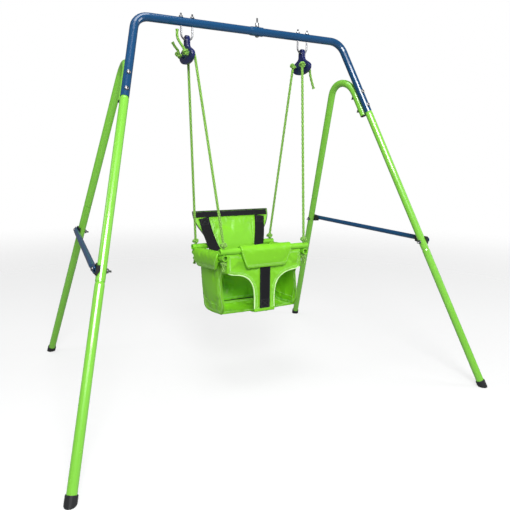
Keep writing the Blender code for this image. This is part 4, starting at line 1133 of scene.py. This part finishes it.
def addCover(name, node, centre, along, across, radius, halfTop, halfHem, drop, seed):
    bore = barRadius + 0.0004
    hem, inner = covers["hem"], covers["flapInner"]

    def reachAt(rise):
        # half of the cover's length, which narrows towards the hem
        return halfTop + (halfHem - halfTop) * min(max(-rise / drop, 0), 1) ** covers["curve"]

    sweep = math.pi + math.asin(covers["under"] / radius)
    outer = [(radius * math.cos(sweep * (1 - step / 20)), radius * math.sin(sweep * (1 - step / 20)))
             for step in range(21)]
    outer += [(radius - 0.0005, -0.012), (radius - 0.0010, -covers["belly"]), (hem + 0.0012, -drop + 0.010),
              (hem, -drop + 0.002), (hem - 0.0025, -drop), (inner + 0.002, -drop), (inner, -drop + 0.003),
              (inner, -covers["under"])]
    hole = [(bore * math.cos(2 * math.pi * step / 20), bore * math.sin(2 * math.pi * step / 20))
            for step in range(20)]
    build = bmesh.new()
    ends = [[[build.verts.new(centre + along * (reachAt(rise) - 0.0012) * hand + across * wide + zAxis * rise)
              for wide, rise in outline] for outline in (outer, hole)] for hand in (-1, 1)]
    for first, second in zip(*ends):
        for step in range(len(first)):
            after = (step + 1) % len(first)
            build.faces.new((first[step], first[after], second[after], second[step]))
    for loops in ends:
        edges = [build.edges.get((ring[step], ring[(step + 1) % len(ring)])) for ring in loops
                 for step in range(len(ring))]
        bmesh.ops.triangle_fill(build, edges=edges, use_beauty=True)
    piece = toObject(name, build, materials["vinyl"])
    remesh = piece.modifiers.new("even", "REMESH")
    remesh.mode = "VOXEL"
    remesh.voxel_size = cloth["voxel"]
    applied(piece)
    held = []
    for vert in piece.data.vertices:
        offset = vert.co - centre
        wide, rise, reach = offset.dot(across), offset.z, abs(offset.dot(along))
        onBar = math.hypot(wide, rise) < bore + covers["stuck"]
        if onBar or reach > reachAt(rise) - covers["edge"] or rise < -drop + 0.009:
            held.append(vert.index)
    settle(piece, held, covers["slack"], cloth["padCap"], seed, covers["bending"], cloth["pressure"])
    smooth = piece.modifiers.new("smooth", "SUBSURF")
    smooth.levels = smooth.render_levels = 1
    applied(piece)
    finishPiece(piece, "swing", [node])
    tree = surfaceOf(piece)
    front = centre + across * 0.02
    build = bmesh.new()
    for lift in (0.0050, 0.0095):
        width = reachAt(lift - drop) - 0.006
        row = [front + along * width * hand + zAxis * (lift - drop) for hand in (-1, 1)]
        stitches(build, evenly(row, 0.004), tree, across)
    for hand in (-1, 1):
        row = [front + along * hand * (reachAt(-drop * share) - 0.0050) - zAxis * drop * share
               for share in (0.05, 0.25, 0.45, 0.65, 0.84)]
        stitches(build, evenly(row, 0.004), tree, across)
    addPiece(name + "_stitching", build, "thread")
    build = bmesh.new()
    fold = [centre + along * (halfHem - 0.0030) * share + across * (hem - 0.0035) - zAxis * (drop - 0.0005)
            for share in (-1, 1)]
    tube(build, evenly(fold, 0.003), 0.0022, 12, taper=2)
    addPiece(name + "_hem", build, "vinyl")
    print("cover:", name)


def addCovers():
    addCover("frontPad", "front_pad", frontBar, xAxis, -yAxis, 0.0160, 0.096, 0.074, 0.057, 21)
    slope = (backBar.z - frontBar.z) / (backBar.y - frontBar.y)
    for side, sign in bothSides:
        addCover("sleeve_" + side, "side_sleeve_" + side, middle("side_bar_" + side),
                 Vector((0, 1, slope)).normalized(), xAxis * sign, 0.0190, 0.099, 0.077, 0.041, 24 + sign)


addCovers()


# webbing

webbing = {"thick": 0.0019, "half": 0.019, "tabHalf": 0.0115, "endHalf": 0.0120, "topHalf": 0.0100,
           "step": 0.0030, "gather": 0.060}


def strap(name, nodes, path, halves, facing):
    # a flat woven strap with rounded edges; its pattern runs by distance along it
    build = bmesh.new()
    layer = build.loops.layers.uv.new("UVMap")
    upper = [(wide, 0.5) for wide in (0.96, 0.6, 0.2, -0.2, -0.6, -0.96)]
    section = [(-1.0, -0.30)] + [(-wide, -deep) for wide, deep in upper] + [(1.0, -0.30), (1.0, 0.30)]
    section += upper + [(-1.0, 0.30)]
    rings, spots = [], {}
    walked = 0.0
    for index, (point, along, half) in enumerate(zip(path, directions(path), halves)):
        if index:
            walked += (point - path[index - 1]).length
        across = along.cross(facing).normalized()
        normal = across.cross(along).normalized()
        ring = []
        for wide, deep in section:
            vert = build.verts.new(point + across * half * wide + normal * webbing["thick"] * deep)
            spots[vert] = (wide * half, walked)
            ring.append(vert)
        rings.append(ring)
    loft(build, rings)
    for face in build.faces:
        for corner in face.loops:
            corner[layer].uv = spots[corner.vert]
    return addPiece(name, build, "webbing", nodes, angle=55)


def addSewing(name, strapPiece, rows, outward):
    tree = surfaceOf(strapPiece)
    build = bmesh.new()
    for one, two, step in rows:
        stitches(build, evenly([one, two], step), tree, outward)
    addPiece(name, build, "darkThread")


def crossedBox(centre, along, across, long, wide):
    # the rows of a sewn rectangle with a cross in it
    spots = [centre + along * long * a + across * wide * b for a, b in ((-1, -1), (1, -1), (1, 1), (-1, 1))]
    pairs = ((0, 1), (1, 2), (2, 3), (3, 0), (0, 2), (1, 3))
    return [(spots[one], spots[two], 0.003) for one, two in pairs]


def addCrotchStrap(top, bottom):
    y = frontBar.y - 0.002 - 0.0012
    path = evenly([Vector((0, y, top - 0.045)), Vector((0, y, bottom + 0.012))], webbing["step"])
    piece = strap("crotchWebbing", ["crotch_strap"], path, [webbing["half"]] * len(path), yAxis)
    rows = [(Vector((x, y, top - 0.060)), Vector((x, y, bottom + 0.016)), 0.004) for x in (-0.0165, 0.0165)]
    rows += crossedBox(Vector((0, y, bottom + 0.028)), zAxis, xAxis, 0.012, 0.014)
    addSewing("crotchStitching", piece, rows, -yAxis)


def addBuckleTab(top, start, tilt):
    onPanel = frontBar.y + 0.002 + 0.0013
    behind = frontBar.y + barRadius + 0.0057 + 0.0022
    route = [Vector((0, y, top + rise)) for y, rise in
             ((onPanel, -0.082), (onPanel, -0.048), (onPanel + 0.003, -0.038), (behind - 0.001, -0.020),
              (behind + 0.001, -0.009), (behind + 0.001, 0.0))]
    route += [start + Vector((0, -0.0085, 0.0026)), start - tilt * 0.0045, start + tilt * 0.001]
    path = curveThrough(route, webbing["step"])
    strap("buckleTab", ["buckle_tab"], path, [webbing["tabHalf"]] * len(path), yAxis)


def addBackStrap(backTop, normal):
    slant = Vector((0, seat["backLean"], 1)).normalized()
    centre = Vector((0, backY(backTop - 0.011), backTop - 0.011)) + normal * 0.0016
    path = evenly([centre - xAxis * 0.1445, centre + xAxis * 0.1445], webbing["step"])
    piece = strap("backWebbing", ["back_strap"], path, [webbing["topHalf"]] * len(path), normal)
    rows = [(centre - xAxis * 0.142 + slant * lift, centre + xAxis * 0.142 + slant * lift, 0.004)
            for lift in (-0.0078, 0.0078)]
    addSewing("backStitching", piece, rows, normal)


def addShoulderStrap(side, sign, backTop, tongueEnd, normal):
    # from the backrest's corner it droops into the seat and rises, gathered, to the tongue
    near = tongueEnd + xAxis * (sign * (webbing["endHalf"] + 0.001))
    slack = (backY(backBar.z) - near.y) / 4
    route = [Vector((sign * x, backY(backTop - drop) - clear, backTop - drop)) for x, drop, clear in
             ((0.112, 0.0225, 0.0032), (0.104, 0.074, 0.0047), (0.090, 0.124, 0.0092))]
    route += [Vector((sign * x, near.y + slack * share, near.z - down)) for x, share, down in
              ((0.072, 2.9, 0.045), (0.054, 2.0, 0.072), (0.034, 1.1, 0.060))]
    route += [near + Vector((sign * 0.006, 0.014, -0.018)), near]
    path = curveThrough(route, webbing["step"])
    widening = webbing["half"] - webbing["endHalf"]
    halves = [webbing["endHalf"] + widening * min((point - near).length / webbing["gather"], 1)
              for point in path]
    piece = strap("shoulderWebbing_" + side, ["shoulder_strap_" + side], path, halves,
                  Vector((0, -1, seat["backLean"])))
    lean = (path[6] - path[0]).normalized()
    rows = crossedBox(path[0] + lean * 0.014, lean, lean.cross(normal).normalized(), 0.010, 0.013)
    addSewing("shoulderStitching_" + side, piece, rows, normal)


def addWebbing():
    top, backTop = frontBar.z, frontBar.z + seat["backRise"]
    start = Vector((0, frontBar.y + 0.030, top + 0.0055))
    tilt = Vector((0, 0.93, -0.37)).normalized()
    normal = Vector((0, -1, seat["backLean"])).normalized()
    addCrotchStrap(top, top - seat["baseDrop"])
    addBuckleTab(top, start, tilt)
    addBackStrap(backTop, normal)
    for side, sign in bothSides:
        addShoulderStrap(side, sign, backTop, start + tilt * (0.036 + 0.020 + 0.0008), normal)
    print("webbing done")


addWebbing()
